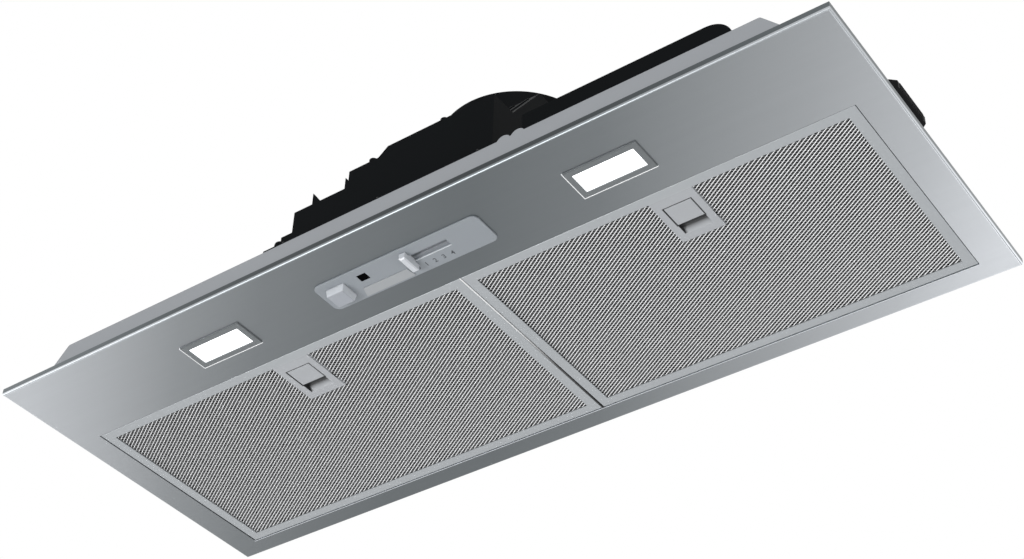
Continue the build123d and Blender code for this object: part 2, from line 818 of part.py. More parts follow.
def volute_outline(inset):
    """Three quarter turns of growing radius, then a straight duct up to the roof; in Y and Z."""
    grow = volute_growth
    y0 = volute_y - grow / 2
    y1 = volute_y + grow / 2
    z0 = volute_z - grow / 2
    z1 = volute_z + grow / 2
    r0, r1, r2 = (volute_start + k * grow - inset for k in range(3))
    top = roof_z - plastic
    s = math.sqrt(0.5)
    edges = [
        ThreePointArc((y0, z0 + r0), (y0 - r0 * s, z0 + r0 * s), (y0 - r0, z0)),
        ThreePointArc((y0 - r0, z0), (y1 - r1 * s, z0 - r1 * s), (y1, z0 - r1)),
        ThreePointArc((y1, z0 - r1), (y1 + r2 * s, z1 - r2 * s), (y1 + r2, z1)),
        Line((y1 + r2, z1), (y1 + r2, top)),
        Line((y1 + r2, top), (y0 + inset, top)),
        Line((y0 + inset, top), (y0 + inset, z0 + r0)),
    ]
    if inset:
        edges.append(Line((y0 + inset, z0 + r0), (y0, z0 + r0)))
    return make_face([Plane.YZ * edge for edge in edges])


def volute_prism(inset, x0, x1):
    return Pos(x0, 0, 0) * extrude(volute_outline(inset), x1 - x0, dir=(1, 0, 0))


def volute_half(side):
    """One moulding of the scroll, open at the joint plane and at the duct's top."""
    if side < 0:
        x0, x1 = volute_left, outlet_x
        room = (x0 + volute_wall, x1 + over)
    else:
        x0, x1 = outlet_x, volute_right
        room = (x0 - over, x1 - volute_wall)
    body = volute_prism(0, x0, x1) - volute_prism(volute_wall, room[0], room[1])
    return body - rod_x(x0 - over, x1 + over, volute_y, volute_z, inlet_radius)


def impeller():
    """Double-inlet wheel: middle disc, hub, end rings and straight blades."""
    x0 = volute_left + impeller_inset
    x1 = volute_right - impeller_inset
    mid = outlet_x
    body = rod_x(mid - disc_thickness / 2, mid + disc_thickness / 2, volute_y, volute_z, impeller_radius)
    body += rod_x(mid - hub_length / 2, mid + hub_length / 2, volute_y, volute_z, hub_radius)
    for x in (x0, x1 - disc_thickness):
        ring = rod_x(x, x + disc_thickness, volute_y, volute_z, impeller_radius)
        body += ring - rod_x(x - over, x + disc_thickness + over, volute_y, volute_z,
                             impeller_radius - blade_depth)
    blade = Pos(0, impeller_radius - blade_depth / 2, 0) * Box(
        x1 - x0, blade_depth - 2 * blade_inset, blade_thickness)
    middle = Pos(mid, volute_y, volute_z)
    body += [middle * Rot(360 * k / impeller_blades, 0, 0) * blade for k in range(impeller_blades)]
    return body - rod_x(x0 - over, x1 + over, volute_y, volute_z, shaft_radius)


def motor_span():
    x1 = volute_left - motor_gap
    return x1 - motor_length, x1


def motor_shaft():
    x0, _ = motor_span()
    return rod_x(x0 - shaft_stub, outlet_x + hub_length / 2 + shaft_stub, volute_y, volute_z, shaft_radius)


def motor():
    x0, x1 = motor_span()
    can = rod_x(x0 + motor_nose, x1 - motor_nose, volute_y, volute_z, motor_radius)
    ends = rod_x(x0, x1, volute_y, volute_z, motor_nose_radius)
    body = can + ends
    return body - rod_x(x0 - over, x1 + over, volute_y, volute_z, shaft_radius + shaft_run)


def bush_places():
    turns = [math.radians(30 + 120 * k) for k in range(3)]
    return [(bracket_radius * math.cos(a), bracket_radius * math.sin(a)) for a in turns]


def motor_bracket():
    """Ring on the motor's nose with three arms to the volute's side."""
    _, x1 = motor_span()
    x0 = x1 - motor_nose
    ring = rod_x(x0, x0 + bracket_thickness, volute_y, volute_z, motor_radius)
    for dy, dz in bush_places():
        angle = math.degrees(math.atan2(dz, dy))
        arm = Pos(0, bracket_radius / 2, 0) * Box(bracket_thickness, bracket_radius, bracket_arm)
        ring += Pos(x0 + bracket_thickness / 2, volute_y, volute_z) * Rot(angle, 0, 0) * arm
        ring += rod_x(x0, x0 + bracket_thickness, volute_y + dy, volute_z + dz, bracket_arm / 2)
    return ring - rod_x(x0 - over, x1 + over, volute_y, volute_z, motor_nose_radius)


def motor_bushes():
    _, x1 = motor_span()
    x0 = x1 - motor_nose + bracket_thickness
    return Compound(children=[rod_x(x0, volute_left, volute_y + dy, volute_z + dz, bush_radius)
                              for dy, dz in bush_places()])


def pan_screw(x, y, z):
    head = rod(x, y, z, z + screw_head_height, screw_head)
    head = fillet(edges_at(head, z + screw_head_height), screw_round)
    return head + rod(x, y, z - screw_length, z, screw_shank)


def blower_screws():
    z = chassis_height + tray_flange_thickness
    return Compound(children=[pan_screw(x, y, z) for x, y in blower_screw_places()])


# ---- electronics --------------------------------------------------------------------------
def box_outline(inset, z0, z1):
    """Electronics housing between two heights; its top runs down round the right end."""
    y0 = inset - blower_half
    y1 = box_back - inset
    x1 = box_right - inset
    z_top = box_top - inset
    radius = box_round - inset
    z_bend = z_top - radius
    s = math.sqrt(0.5)
    bend = (x1 - radius + radius * s, z_bend + radius * s)
    edges = [
        Line((box_left + inset, chassis_height), (x1, chassis_height)),
        Line((x1, chassis_height), (x1, z_bend)),
        ThreePointArc((x1, z_bend), bend, (x1 - radius, z_top)),
        Line((x1 - radius, z_top), (box_left + inset, z_top)),
        Line((box_left + inset, z_top), (box_left + inset, chassis_height)),
    ]
    side = make_face([Plane.XZ * edge for edge in edges])
    body = Pos(0, y0, 0) * extrude(side, y1 - y0, dir=(0, 1, 0))
    return body & block(box_left - over, box_right + over, y0 - over, y1 + over, z0, z1)


def electronics_tray():
    body = box_outline(0, chassis_height, tray_top)
    body -= box_outline(box_wall, chassis_height + box_wall, tray_top + over)
    return body - rod_y(gland_x, box_back - 2 * box_wall, box_back + over, gland_z, gland_hole)


def electronics_lid():
    return box_outline(0, tray_top, box_top) - box_outline(box_wall, tray_top - over, box_top - box_wall)


def circuit_board():
    x = (box_left + box_right) / 2 - board_margin
    y = (box_back - blower_half) / 2
    length = box_right - box_left - 4 * board_margin
    depth = box_back + blower_half - 2 * board_margin
    board = slab(x, y, length, depth, board_level, board_level + board_thickness)
    floor = chassis_height + box_wall
    reach_x = length / 2 - post_inset
    reach_y = depth / 2 - post_inset
    for dx in (-reach_x, reach_x):
        for dy in (-reach_y, reach_y):
            board += rod(x + dx, y + dy, floor, board_level, board_post)
    return board


def run_capacitor():
    z = board_level + board_thickness + capacitor_radius
    x = box_left + 4 * board_margin
    y = (box_back - blower_half) / 2 - capacitor_back
    return rod_x(x, x + capacitor_length, y, z, capacitor_radius)


def terminal_block():
    length, depth, height = terminal_size
    radius, hole_depth = terminal_hole
    y = box_back - board_margin - depth / 2 - terminal_inset
    z0 = board_level + board_thickness
    z1 = z0 + height
    body = slab(gland_x, y, length, depth, z0, z1)
    for k in range(terminal_ways):
        x = gland_x - length / 2 + (k + 0.5) * length / terminal_ways
        body -= rod(x, y, z1 - hole_depth, z1 + over, radius)
    return body


def cable_gland():
    body = rod_y(gland_x, box_back, box_back + gland_length, gland_z, gland_radius)
    inside = box_back - gland_inside
    body += rod_y(gland_x, inside, box_back, gland_z, gland_neck)
    return body - rod_y(gland_x, inside - over, box_back + gland_length + over, gland_z, gland_bore)


# ---- side clips ---------------------------------------------------------------------------
def clip_pivot():
    return chassis_foot / 2 + clip_out


def clip_bracket():
    """Small plate on the chassis wall with an ear at each end of the clip."""
    wall = chassis_foot / 2
    x = clip_pivot()
    half = clip_length / 2 + ear_gap + ear_thickness
    z0 = clip_pivot_z - clip_barrel - ear_gap
    z1 = clip_pivot_z + clip_barrel
    body = block(wall, wall + clip_plate, clip_y - half, clip_y + half, z0, chassis_knee[1])
    for y0 in (clip_y - half, clip_y + half - ear_thickness):
        body += block(wall, x + clip_barrel - ear_gap, y0, y0 + ear_thickness, z0, z1)
    return body - rod_y(x, clip_y - half - over, clip_y + half + over, clip_pivot_z, clip_pin_radius)


def clip_pin():
    half = clip_length / 2 + ear_gap + ear_thickness
    return rod_y(clip_pivot(), clip_y - half, clip_y + half, clip_pivot_z, clip_pin_radius)


def clip_spring():
    """Plain sleeve in place of the hidden torsion coil, round the pin in the clip's gap."""
    half = clip_spring_gap / 2 - ear_gap
    x = clip_pivot()
    sleeve = rod_y(x, clip_y - half, clip_y + half, clip_pivot_z, clip_spring_radius)
    return sleeve - rod_y(x, clip_y - half - over, clip_y + half + over, clip_pivot_z, clip_pin_radius)


def side_clip():
    """Snap clip: barrel on the pin, flat arm, and a nose that catches behind the cabinet panel."""
    x = clip_pivot()
    y0 = clip_y - clip_length / 2
    y1 = clip_y + clip_length / 2
    nose = chassis_foot / 2 + clip_nose_out
    foot, low, high = clip_nose_z
    inner = x - clip_arm / 2
    outer = x + clip_arm / 2
    outline = [(inner, clip_pivot_z), (outer, clip_pivot_z), (outer, foot), (nose, low), (nose, high),
               (outer, clip_top), (inner, clip_top)]
    arm = prism_y(outline, y0, y1)
    corners = edges_at(arm, clip_top).filter_by(Axis.X)
    arm = chamfer(corners, clip_corner)
    arm += rod_y(x, y0, y1, clip_pivot_z, clip_barrel)
    gap_half = clip_spring_gap / 2
    reach = 2 * clip_barrel
    arm -= block(x - reach, x + reach, clip_y - gap_half, clip_y + gap_half, clip_pivot_z - reach,
                 clip_pivot_z + clip_barrel + ear_gap)
    return arm - rod_y(x, y0 - over, y1 + over, clip_pivot_z, clip_pin_radius + clip_run)


# ---- export -------------------------------------------------------------------------------
def both(shape):
    return Compound(children=[shape, mirrored(shape)])


def make_all():
    nodes = {
        "face_panel": face_panel(),
        "chassis": chassis(),
        "bay_divider": bay_divider(),
        "control_plate": control_plate(),
        "indicator_window": indicator_window(),
        "switch_housing": switch_housing(),
        "light_switch_knob": light_switch_knob(),
        "speed_slider_knob": speed_slider_knob(),
        "blower_tray": blower_tray(),
        "blower_cover": blower_cover(),
        "blower_screws": blower_screws(),
        "outlet_spigot": outlet_spigot(),
        "flap_pin": flap_pin(),
        "damper_flap_front": damper_flap(-1),
        "damper_flap_back": damper_flap(1),
        "volute_left": volute_half(-1),
        "volute_right": volute_half(1),
        "impeller": impeller(),
        "motor_shaft": motor_shaft(),
        "motor": motor(),
        "motor_bracket": motor_bracket(),
        "motor_bushes": motor_bushes(),
        "electronics_tray": electronics_tray(),
        "electronics_lid": electronics_lid(),
        "circuit_board": circuit_board(),
        "run_capacitor": run_capacitor(),
        "terminal_block": terminal_block(),
        "cable_gland": cable_gland(),
        "clip_pins": both(clip_pin()),
        "clip_springs": both(clip_spring()),
        "side_clip_right": side_clip(),
        "side_clip_left": mirrored(side_clip()),
        "clip_bracket_right": clip_bracket(),
        "clip_bracket_left": mirrored(clip_bracket()),
    }
    for name, side in (("left", -1), ("right", 1)):
        nodes["filter_frame_" + name] = filter_frame(side)
        nodes["filter_face_mesh_" + name] = filter_face_mesh(side)
        nodes["filter_core_" + name] = filter_core(side)
        nodes["filter_back_mesh_" + name] = filter_back_mesh(side)
        nodes["filter_tabs_" + name] = rear_tabs(side)
        nodes["latch_plate_" + name] = latch_plate(side)
        nodes["latch_button_" + name] = latch_button(side)
        nodes["latch_springs_" + name] = latch_spring(side)
        nodes["lamp_bezel_" + name] = lamp_bezel(side)
        nodes["lamp_lens_" + name] = lamp_lens(side)
        nodes["lamp_module_" + name] = lamp_module(side)
    return nodes


os.makedirs("parts", exist_ok=True)
for node, shape in make_all().items():
    export_step(shape, f"parts/{node}.step")
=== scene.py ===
import json
import math

import bmesh
import bpy
from mathutils import Matrix, Vector

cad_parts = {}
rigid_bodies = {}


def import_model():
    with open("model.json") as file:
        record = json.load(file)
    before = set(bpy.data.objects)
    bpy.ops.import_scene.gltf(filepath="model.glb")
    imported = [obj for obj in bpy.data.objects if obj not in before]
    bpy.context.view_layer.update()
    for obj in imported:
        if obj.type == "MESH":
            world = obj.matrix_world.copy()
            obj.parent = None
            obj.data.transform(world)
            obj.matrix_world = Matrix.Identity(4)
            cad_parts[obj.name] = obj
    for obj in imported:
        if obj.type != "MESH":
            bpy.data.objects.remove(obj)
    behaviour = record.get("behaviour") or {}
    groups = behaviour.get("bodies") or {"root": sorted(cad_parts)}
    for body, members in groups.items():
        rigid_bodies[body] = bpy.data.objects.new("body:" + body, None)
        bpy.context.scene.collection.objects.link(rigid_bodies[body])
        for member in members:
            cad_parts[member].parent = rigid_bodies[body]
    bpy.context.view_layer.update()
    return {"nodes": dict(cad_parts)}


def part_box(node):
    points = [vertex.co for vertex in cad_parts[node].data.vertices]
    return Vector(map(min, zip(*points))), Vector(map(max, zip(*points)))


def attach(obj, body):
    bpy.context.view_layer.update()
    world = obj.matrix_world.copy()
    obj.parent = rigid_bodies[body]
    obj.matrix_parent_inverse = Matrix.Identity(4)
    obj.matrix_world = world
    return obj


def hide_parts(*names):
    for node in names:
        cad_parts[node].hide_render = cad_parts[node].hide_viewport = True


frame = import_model()
print("frame loaded:", len(frame["nodes"]), "nodes")

mm = 0.001
sides = {"left": -1, "right": 1}


def pair(node):
    return [node + "_" + side for side in sides]


class Value:
    # wraps a node's output so that shader maths reads as plain sums
    def __init__(self, shader, socket):
        self.shader = shader
        self.socket = socket

    def math(self, operation, *others):
        return self.shader.node("Math", {"operation": operation}, dict(enumerate((self,) + others)))

    def __add__(self, other):
        return self.math("ADD", other)

    def __mul__(self, other):
        return self.math("MULTIPLY", other)

    def __sub__(self, other):
        return self.math("SUBTRACT", other)

    def __rsub__(self, other):
        return self.shader.node("Math", {"operation": "SUBTRACT"}, {0: other, 1: self})

    def __gt__(self, other):
        return self.math("GREATER_THAN", other)

    def __lt__(self, other):
        return self.math("LESS_THAN", other)

    __radd__ = __add__
    __rmul__ = __mul__

    def abs(self):
        return self.math("ABSOLUTE")

    def max(self, other):
        return self.math("MAXIMUM", other)

    def within(self, low, high):
        return (self > low) * (self < high)


class Nodes:
    # adds nodes to one shader tree
    def __init__(self, tree):
        self.tree = tree
        tree.nodes.clear()

    def feed(self, socket, value):
        if isinstance(value, Value):
            self.tree.links.new(value.socket, socket)
        elif hasattr(value, "__len__") and len(value) == 3 and socket.type == "RGBA":
            socket.default_value = (*value, 1.0)
        else:
            socket.default_value = value

    def node(self, kind, settings=None, inputs=None, output=0):
        made = self.tree.nodes.new("ShaderNode" + kind)
        for key, value in (settings or {}).items():
            if key == "stops":
                self.stops(made.color_ramp, value)
            else:
                setattr(made, key, value)
        for key, value in (inputs or {}).items():
            self.feed(made.inputs[key], value)
        return Value(self, made.outputs[output])

    def stops(self, ramp, places):
        while len(ramp.elements) < len(places):
            ramp.elements.new(0.5)
        for element, (place, colour) in zip(ramp.elements, places):
            element.position = place
            element.color = (*colour, 1.0)

    def axes(self):
        split = self.node("SeparateXYZ", None, {0: self.node("TexCoord", output="Object")})
        return [Value(self, split.socket.node.outputs[k]) for k in range(3)]

    def noise(self, scale, detail=3.0, stretch=(1, 1, 1)):
        place = self.node("TexCoord", output="Object")
        place = self.node("Mapping", None, {"Vector": place, "Scale": stretch})
        return self.node("TexNoise", None, {"Vector": place, "Scale": scale, "Detail": detail})

    def ramp(self, factor, *places):
        return self.node("ValToRGB", {"stops": places}, {0: factor})

    def greys(self, factor, places):
        return self.ramp(factor, *[(at, (level,) * 3) for at, level in places])

    def mix(self, factor, first, second):
        return self.node("Mix", {"data_type": "RGBA"}, {0: factor, 6: first, 7: second}, output=2)

    def clamp(self, value):
        return self.node("Clamp", None, {0: value})

    def bump(self, height, strength, distance):
        return self.node("Bump", None, {"Height": height, "Strength": strength, "Distance": distance})


class Shader(Nodes):
    def __init__(self, name, **plain):
        self.material = bpy.data.materials.new(name)
        self.material.use_nodes = True
        super().__init__(self.material.node_tree)
        output = self.tree.nodes.new("ShaderNodeOutputMaterial")
        self.surface = self.tree.nodes.new("ShaderNodeBsdfPrincipled")
        self.tree.links.new(self.surface.outputs[0], output.inputs[0])
        self.set(**plain)

    def set(self, **inputs):
        for key, value in inputs.items():
            self.feed(self.surface.inputs[key.replace("_", " ")], value)

    def skin(self, factor, roughness, span, height, bump, depth):
        # roughness that follows the factor about its middle, and a height for the bump
        self.set(Roughness=factor * span + (roughness - span / 2), Normal=self.bump(height, bump, depth))


def between(place, span):
    # 0 at the span's start and 1 at its end
    return (place - span[0]) * (1.0 / (span[1] - span[0]))


def spread(colour, share):
    # the same colour a little darker and a little lighter
    return tuple(c * (1 - share) for c in colour), tuple(min(1.0, c * (1 + share)) for c in colour)


faceFinish = {
    # painted reflection: soft bands of light and dark along the face; brightness over the distance across
    # each band
    "left": {"lean": 0.97, "span": (-0.464, -0.064), "levels": (
        (0.0, 0.75), (0.2, 0.585), (0.4, 0.40), (0.6, 0.295), (0.8, 0.248), (1.0, 0.215))},
    "right": {"lean": 0.65, "span": (0.000, 0.425), "levels": (
        (0.0, 0.215), (0.23, 0.268), (0.42, 0.378), (0.6, 0.485), (0.81, 0.665), (1.0, 0.93))},
    "lowest": 0.215,
    "tints": ((0.0, (0.0, 0.0, 0.0)), (0.165, (0.146, 0.165, 0.174)), (0.50, (0.477, 0.50, 0.522)),
              (1.0, (0.965, 1.0, 1.045))),
    # scale, detail and stretch of each noise
    "brush": (160.0, 3.0, (0.03, 1.0, 1.0)), "brushShare": 0.05,
    "sheen": (60.0, 2.0, (0.1, 1.0, 1.0)), "roughness": 0.36, "roughSpan": 0.05,
    "scratch": (900.0, 3.0, (0.02, 1.0, 1.0)), "bump": 0.05, "depth": 0.01 * mm,
    # painted shade on the outer wall of the rim and on its lower bend, and a painted highlight on the rear
    # edge of the filter opening
    "rim": {"depth": 0.4 * mm, "above": 2.0 * mm, "shade": 0.26},
    "fold": {"depth": 0.95 * mm, "heights": (0.30 * mm, 0.60 * mm), "level": 0.27},
    "lip": {"from": -0.1 * mm, "to": 1.3 * mm, "level": 0.95},
}


def brushedFace():
    s = Shader("brushedFace", Metallic=1.0)
    x, y, z = s.axes()
    low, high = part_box("face_panel")
    rim, fold, lip = faceFinish["rim"], faceFinish["fold"], faceFinish["lip"]
    # painted reflection: the bands of light and dark across the face
    left, right = [s.greys(between(x + y * band["lean"], band["span"]), band["levels"])
                   for band in (faceFinish["left"], faceFinish["right"])]
    share = faceFinish["brushShare"]
    level = left + right - faceFinish["lowest"]
    level = level * (s.noise(*faceFinish["brush"]) * share + (1 - share / 2))

    def nearEdge(depth):
        return (x.abs() > high.x - depth).max(y.abs() > high.y - depth)

    wall = nearEdge(rim["depth"]) * (z > low.z + rim["above"])
    bend = nearEdge(fold["depth"]) * z.within(*(low.z + h for h in fold["heights"]))
    rear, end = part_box("filter_frame_left")[1].y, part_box("filter_frame_right")[1].x
    strip = y.within(rear + lip["from"], rear + lip["to"]) * (x.abs() < end + lip["to"])
    # painted shade on the rim's wall and bend, painted highlight on the strip along the opening's rear edge
    level = level * (1 - wall * (1 - rim["shade"]))
    for spot, tone in ((bend, fold["level"]), (strip, lip["level"])):
        level = level * (1 - spot) + spot * tone
    s.set(Base_Color=s.ramp(level, *faceFinish["tints"]))
    s.skin(s.noise(*faceFinish["sheen"]), faceFinish["roughness"], faceFinish["roughSpan"],
           s.noise(*faceFinish["scratch"]), faceFinish["bump"], faceFinish["depth"])
    return s.material


metalSkin = {"cloud": 14.0, "cloudShare": 0.7, "detail": 4.0, "roughSpan": 0.10, "bump": 0.10,
             "depth": 0.03 * mm}


def rollMetal(s, grain, roughness, bump=metalSkin["bump"], depth=metalSkin["depth"]):
    # the grain of rolled sheet, in gloss and height
    s.skin(grain, roughness, metalSkin["roughSpan"], grain, bump, depth)


def sheetMetal(name, colour, roughness, metallic=1.0, mottle=0.06, grain=220.0, stretch=(1, 1, 1)):
    s = Shader(name, Metallic=metallic)
    cloud, fine = s.noise(metalSkin["cloud"]), s.noise(grain, metalSkin["detail"], stretch)
    share = metalSkin["cloudShare"]
    s.set(Base_Color=s.mix(cloud * share + fine * (1 - share), *spread(colour, mottle)))
    rollMetal(s, fine, roughness)
    return s.material


dividerFinish = {"metallic": 0.2, "grain": 220.0, "roughness": 0.40, "span": (-0.08, 0.12),
                 "levels": ((0.0, 0.94), (0.45, 0.75), (0.70, 0.08), (1.0, 0.01)),
                 "white": (0.98, 0.99, 1.0)}


def dividerSteel():
    # bright towards the controls, in shadow towards the wall
    s = Shader("dividerSteel", Metallic=dividerFinish["metallic"])
    shine = s.greys(between(s.axes()[1], dividerFinish["span"]), dividerFinish["levels"])
    s.set(Base_Color=s.ramp(shine, (0.0, (0.0, 0.0, 0.0)), (1.0, dividerFinish["white"])))
    rollMetal(s, s.noise(dividerFinish["grain"], metalSkin["detail"]), dividerFinish["roughness"])
    return s.material


plasticSkin = {"ior": 1.48, "cloud": 22.0, "detail": 2.0, "depth": 0.05 * mm}


def mouldSkin(s, factor, roughness, grain, span=0.12, bump=0.06):
    # fine pebbles, and a gloss that follows the factor
    s.skin(factor, roughness, span, s.noise(grain, plasticSkin["detail"]), bump, plasticSkin["depth"])


def mouldedPlastic(name, colour, roughness, grain=900.0, mottle=0.04, bump=0.06, gloss=0.5):
    s = Shader(name, IOR=plasticSkin["ior"], Specular_IOR_Level=gloss)
    cloud = s.noise(plasticSkin["cloud"])
    s.set(Base_Color=s.mix(cloud, *spread(colour, mottle)))
    mouldSkin(s, cloud, roughness, grain, bump=bump)
    return s.material


latchFinish = {
    "colour": (0.385, 0.40, 0.42), "mottle": 0.05, "roughness": 0.43, "roughSpan": 0.10, "grain": 1500.0,
    # near-black painted shade and shadow, and how far it covers the plastic
    "shadowColour": (0.012, 0.013, 0.014), "shadowShare": 0.97,
    "buttonLength": 18.4 * mm,
    "gap": (0.02 * mm, 1.0 * mm),           # outwards from the button's edge
    "gapHeights": (-0.2 * mm, 3.9 * mm),    # above the plate's lower face, as is the scoop's floor
    "scoopFloor": 0.3 * mm,
    "scoop": (6.4 * mm, 10.5 * mm),         # behind the button, where the painted shadow thins out
    "wedge": 2.2 * mm, "corner": 11.0 * mm,
}


def latchPlastic():
    # painted shade in the gap round each button, and a painted shadow of the button on the scoop's floor
    # behind it
    s = Shader("latchGrey", IOR=plasticSkin["ior"])
    x, y, z = s.axes()
    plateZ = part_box("latch_plate_left")[0].z
    boxes = [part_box(node) for node in pair("latch_button")]
    centres = [(low.x + high.x) / 2 for low, high in boxes]
    low, high = boxes[0]
    halfX, halfY = (high.x - low.x) / 2, latchFinish["buttonLength"] / 2
    across = x - (x > sum(centres) / 2) * (centres[1] - centres[0]) - centres[0]
    outside = (across.abs() - halfX).max((y - (high.y - halfY)).abs() - halfY)
    gap = outside.within(*latchFinish["gap"]) * z.within(*(plateZ + h for h in latchFinish["gapHeights"]))
    behind = y - high.y
    near, far = latchFinish["scoop"]
    fall = s.clamp((far - behind) * (1.0 / (far - near)))
    wedge = s.clamp(1.0 - (across + halfX) * (1.0 / latchFinish["wedge"]))
    onFloor = (z > plateZ + latchFinish["scoopFloor"]) * (behind > 0.0)
    shade = onFloor * (fall * fall).max(wedge * (behind < latchFinish["corner"]))
    # painted shade in the gap and painted shadow on the scoop's floor
    paintedShade = gap.max(shade) * latchFinish["shadowShare"]
    cloud = s.noise(plasticSkin["cloud"])
    body = s.mix(cloud, *spread(latchFinish["colour"], latchFinish["mottle"]))
    s.set(Base_Color=s.mix(paintedShade, body, latchFinish["shadowColour"]))
    mouldSkin(s, cloud, latchFinish["roughness"], latchFinish["grain"], latchFinish["roughSpan"])
    return s.material


plateFinish = {
    "colour": (0.262, 0.285, 0.31), "mottle": 0.03, "roughness": 0.40, "grain": 1800.0,
    # widths across the slot are from its middle line, heights from the plate's lowest face
    "slot": {"colour": (0.20, 0.217, 0.238), "ends": (2.2 * mm, 39.8 * mm), "shift": -2.3 * mm,
             "half": 3.35 * mm},
    # painted highlight along the slot's rear edge
    "ledge": {"colour": (0.66, 0.69, 0.72), "strip": (3.05 * mm, 3.75 * mm), "below": 1.35 * mm},
    # painted light on the slit's walls, where shade would fall
    "slit": {"colour": (0.37, 0.39, 0.42), "half": 1.1 * mm, "above": 2.15 * mm},
    "pad": {"colour": (0.34, 0.355, 0.37), "below": 0.35 * mm},
}


def platePlastic():
    # the slot's floor is darker, with a painted highlight on its rear edge and painted light on the slit's
    # walls; the bare pad is a little paler
    s = Shader("plateGrey", IOR=plasticSkin["ior"])
    x, y, z = s.axes()
    low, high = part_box("control_plate")
    slot, ledge, slit, pad = (plateFinish[k] for k in ("slot", "ledge", "slit", "pad"))
    inSlot = x.within(*slot["ends"])
    off = y - ((low.y + high.y) / 2 + slot["shift"])
    spots = (
        (slot, inSlot * (off.abs() < slot["half"])),
        (ledge, inSlot * off.within(*ledge["strip"]) * (z < low.z + ledge["below"])),
        (slit, inSlot * (off.abs() < slit["half"]) * (z > low.z + slit["above"])),
        (pad, z < low.z + pad["below"]),
    )
    cloud = s.noise(plasticSkin["cloud"])
    body = s.mix(cloud, *spread(plateFinish["colour"], plateFinish["mottle"]))
    for facts, spot in spots:
        body = s.mix(spot, body, facts["colour"])
    s.set(Base_Color=body)
    mouldSkin(s, cloud, plateFinish["roughness"], plateFinish["grain"])
    return s.material


# paler sides and darker lowest face: painted light and shade
knobFinish = {"flank": ((0.55, 0.575, 0.61), (0.60, 0.625, 0.66)), "face": (0.335, 0.355, 0.39),
              "faceDepth": 0.35 * mm, "roughness": 0.36, "grain": 1200.0}


def knobPlastic():
    # painted shade on the lowest face and painted light on the sides; matt on the lowest face, glossier on
    # the sides
    s = Shader("knobPale", IOR=plasticSkin["ior"])
    shadedFace = s.axes()[2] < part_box("light_switch_knob")[0].z + knobFinish["faceDepth"]
    flank = s.mix(s.noise(plasticSkin["cloud"]), *knobFinish["flank"])
    s.set(Base_Color=s.mix(shadedFace, flank, knobFinish["face"]))
    mouldSkin(s, shadedFace, knobFinish["roughness"], knobFinish["grain"])
    return s.material


trimFinish = {"metallic": 0.2, "dull": (0.13, 0.14, 0.147), "bright": (0.93, 0.94, 0.95),
              "edge": 0.6 * mm, "grain": 700.0, "roughness": 0.30, "bump": 0.05, "depth": 0.02 * mm}


def lampTrim():
    # painted highlight on two runs of the hem, the -x end and the rear side; the other two stay dull
    s = Shader("lampTrim", Metallic=trimFinish["metallic"])
    x, y, _ = s.axes()
    low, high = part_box("lamp_bezel_right")
    centre = (low + high) / 2
    halfX, halfY = (high.x - low.x) / 2, (high.y - low.y) / 2
    edge = trimFinish["edge"]
    across = x - ((x > 0.0) * 2.0 - 1.0) * centre.x
    bright = (across < edge - halfX).max(y - centre.y > halfY - edge)
    s.set(Base_Color=s.mix(bright, trimFinish["dull"], trimFinish["bright"]))
    rollMetal(s, s.noise(trimFinish["grain"]), trimFinish["roughness"], trimFinish["bump"],
              trimFinish["depth"])
    return s.material


glowFinish = {"lens": (0.95, 0.96, 0.98), "glow": ((0.97, 0.985, 1.0), (1.0, 1.0, 1.0)), "strength": 1.6,
              "roughness": 0.45, "ior": 1.49, "haze": (160.0, 2.0), "bump": 0.2, "depth": 0.05 * mm}


def lampGlow():
    s = Shader("lampGlow", Roughness=glowFinish["roughness"], IOR=glowFinish["ior"],
               Emission_Strength=glowFinish["strength"], Base_Color=glowFinish["lens"])
    haze = s.noise(*glowFinish["haze"])
    s.set(Emission_Color=s.mix(haze, *glowFinish["glow"]),
          Normal=s.bump(haze, glowFinish["bump"], glowFinish["depth"]))
    return s.material


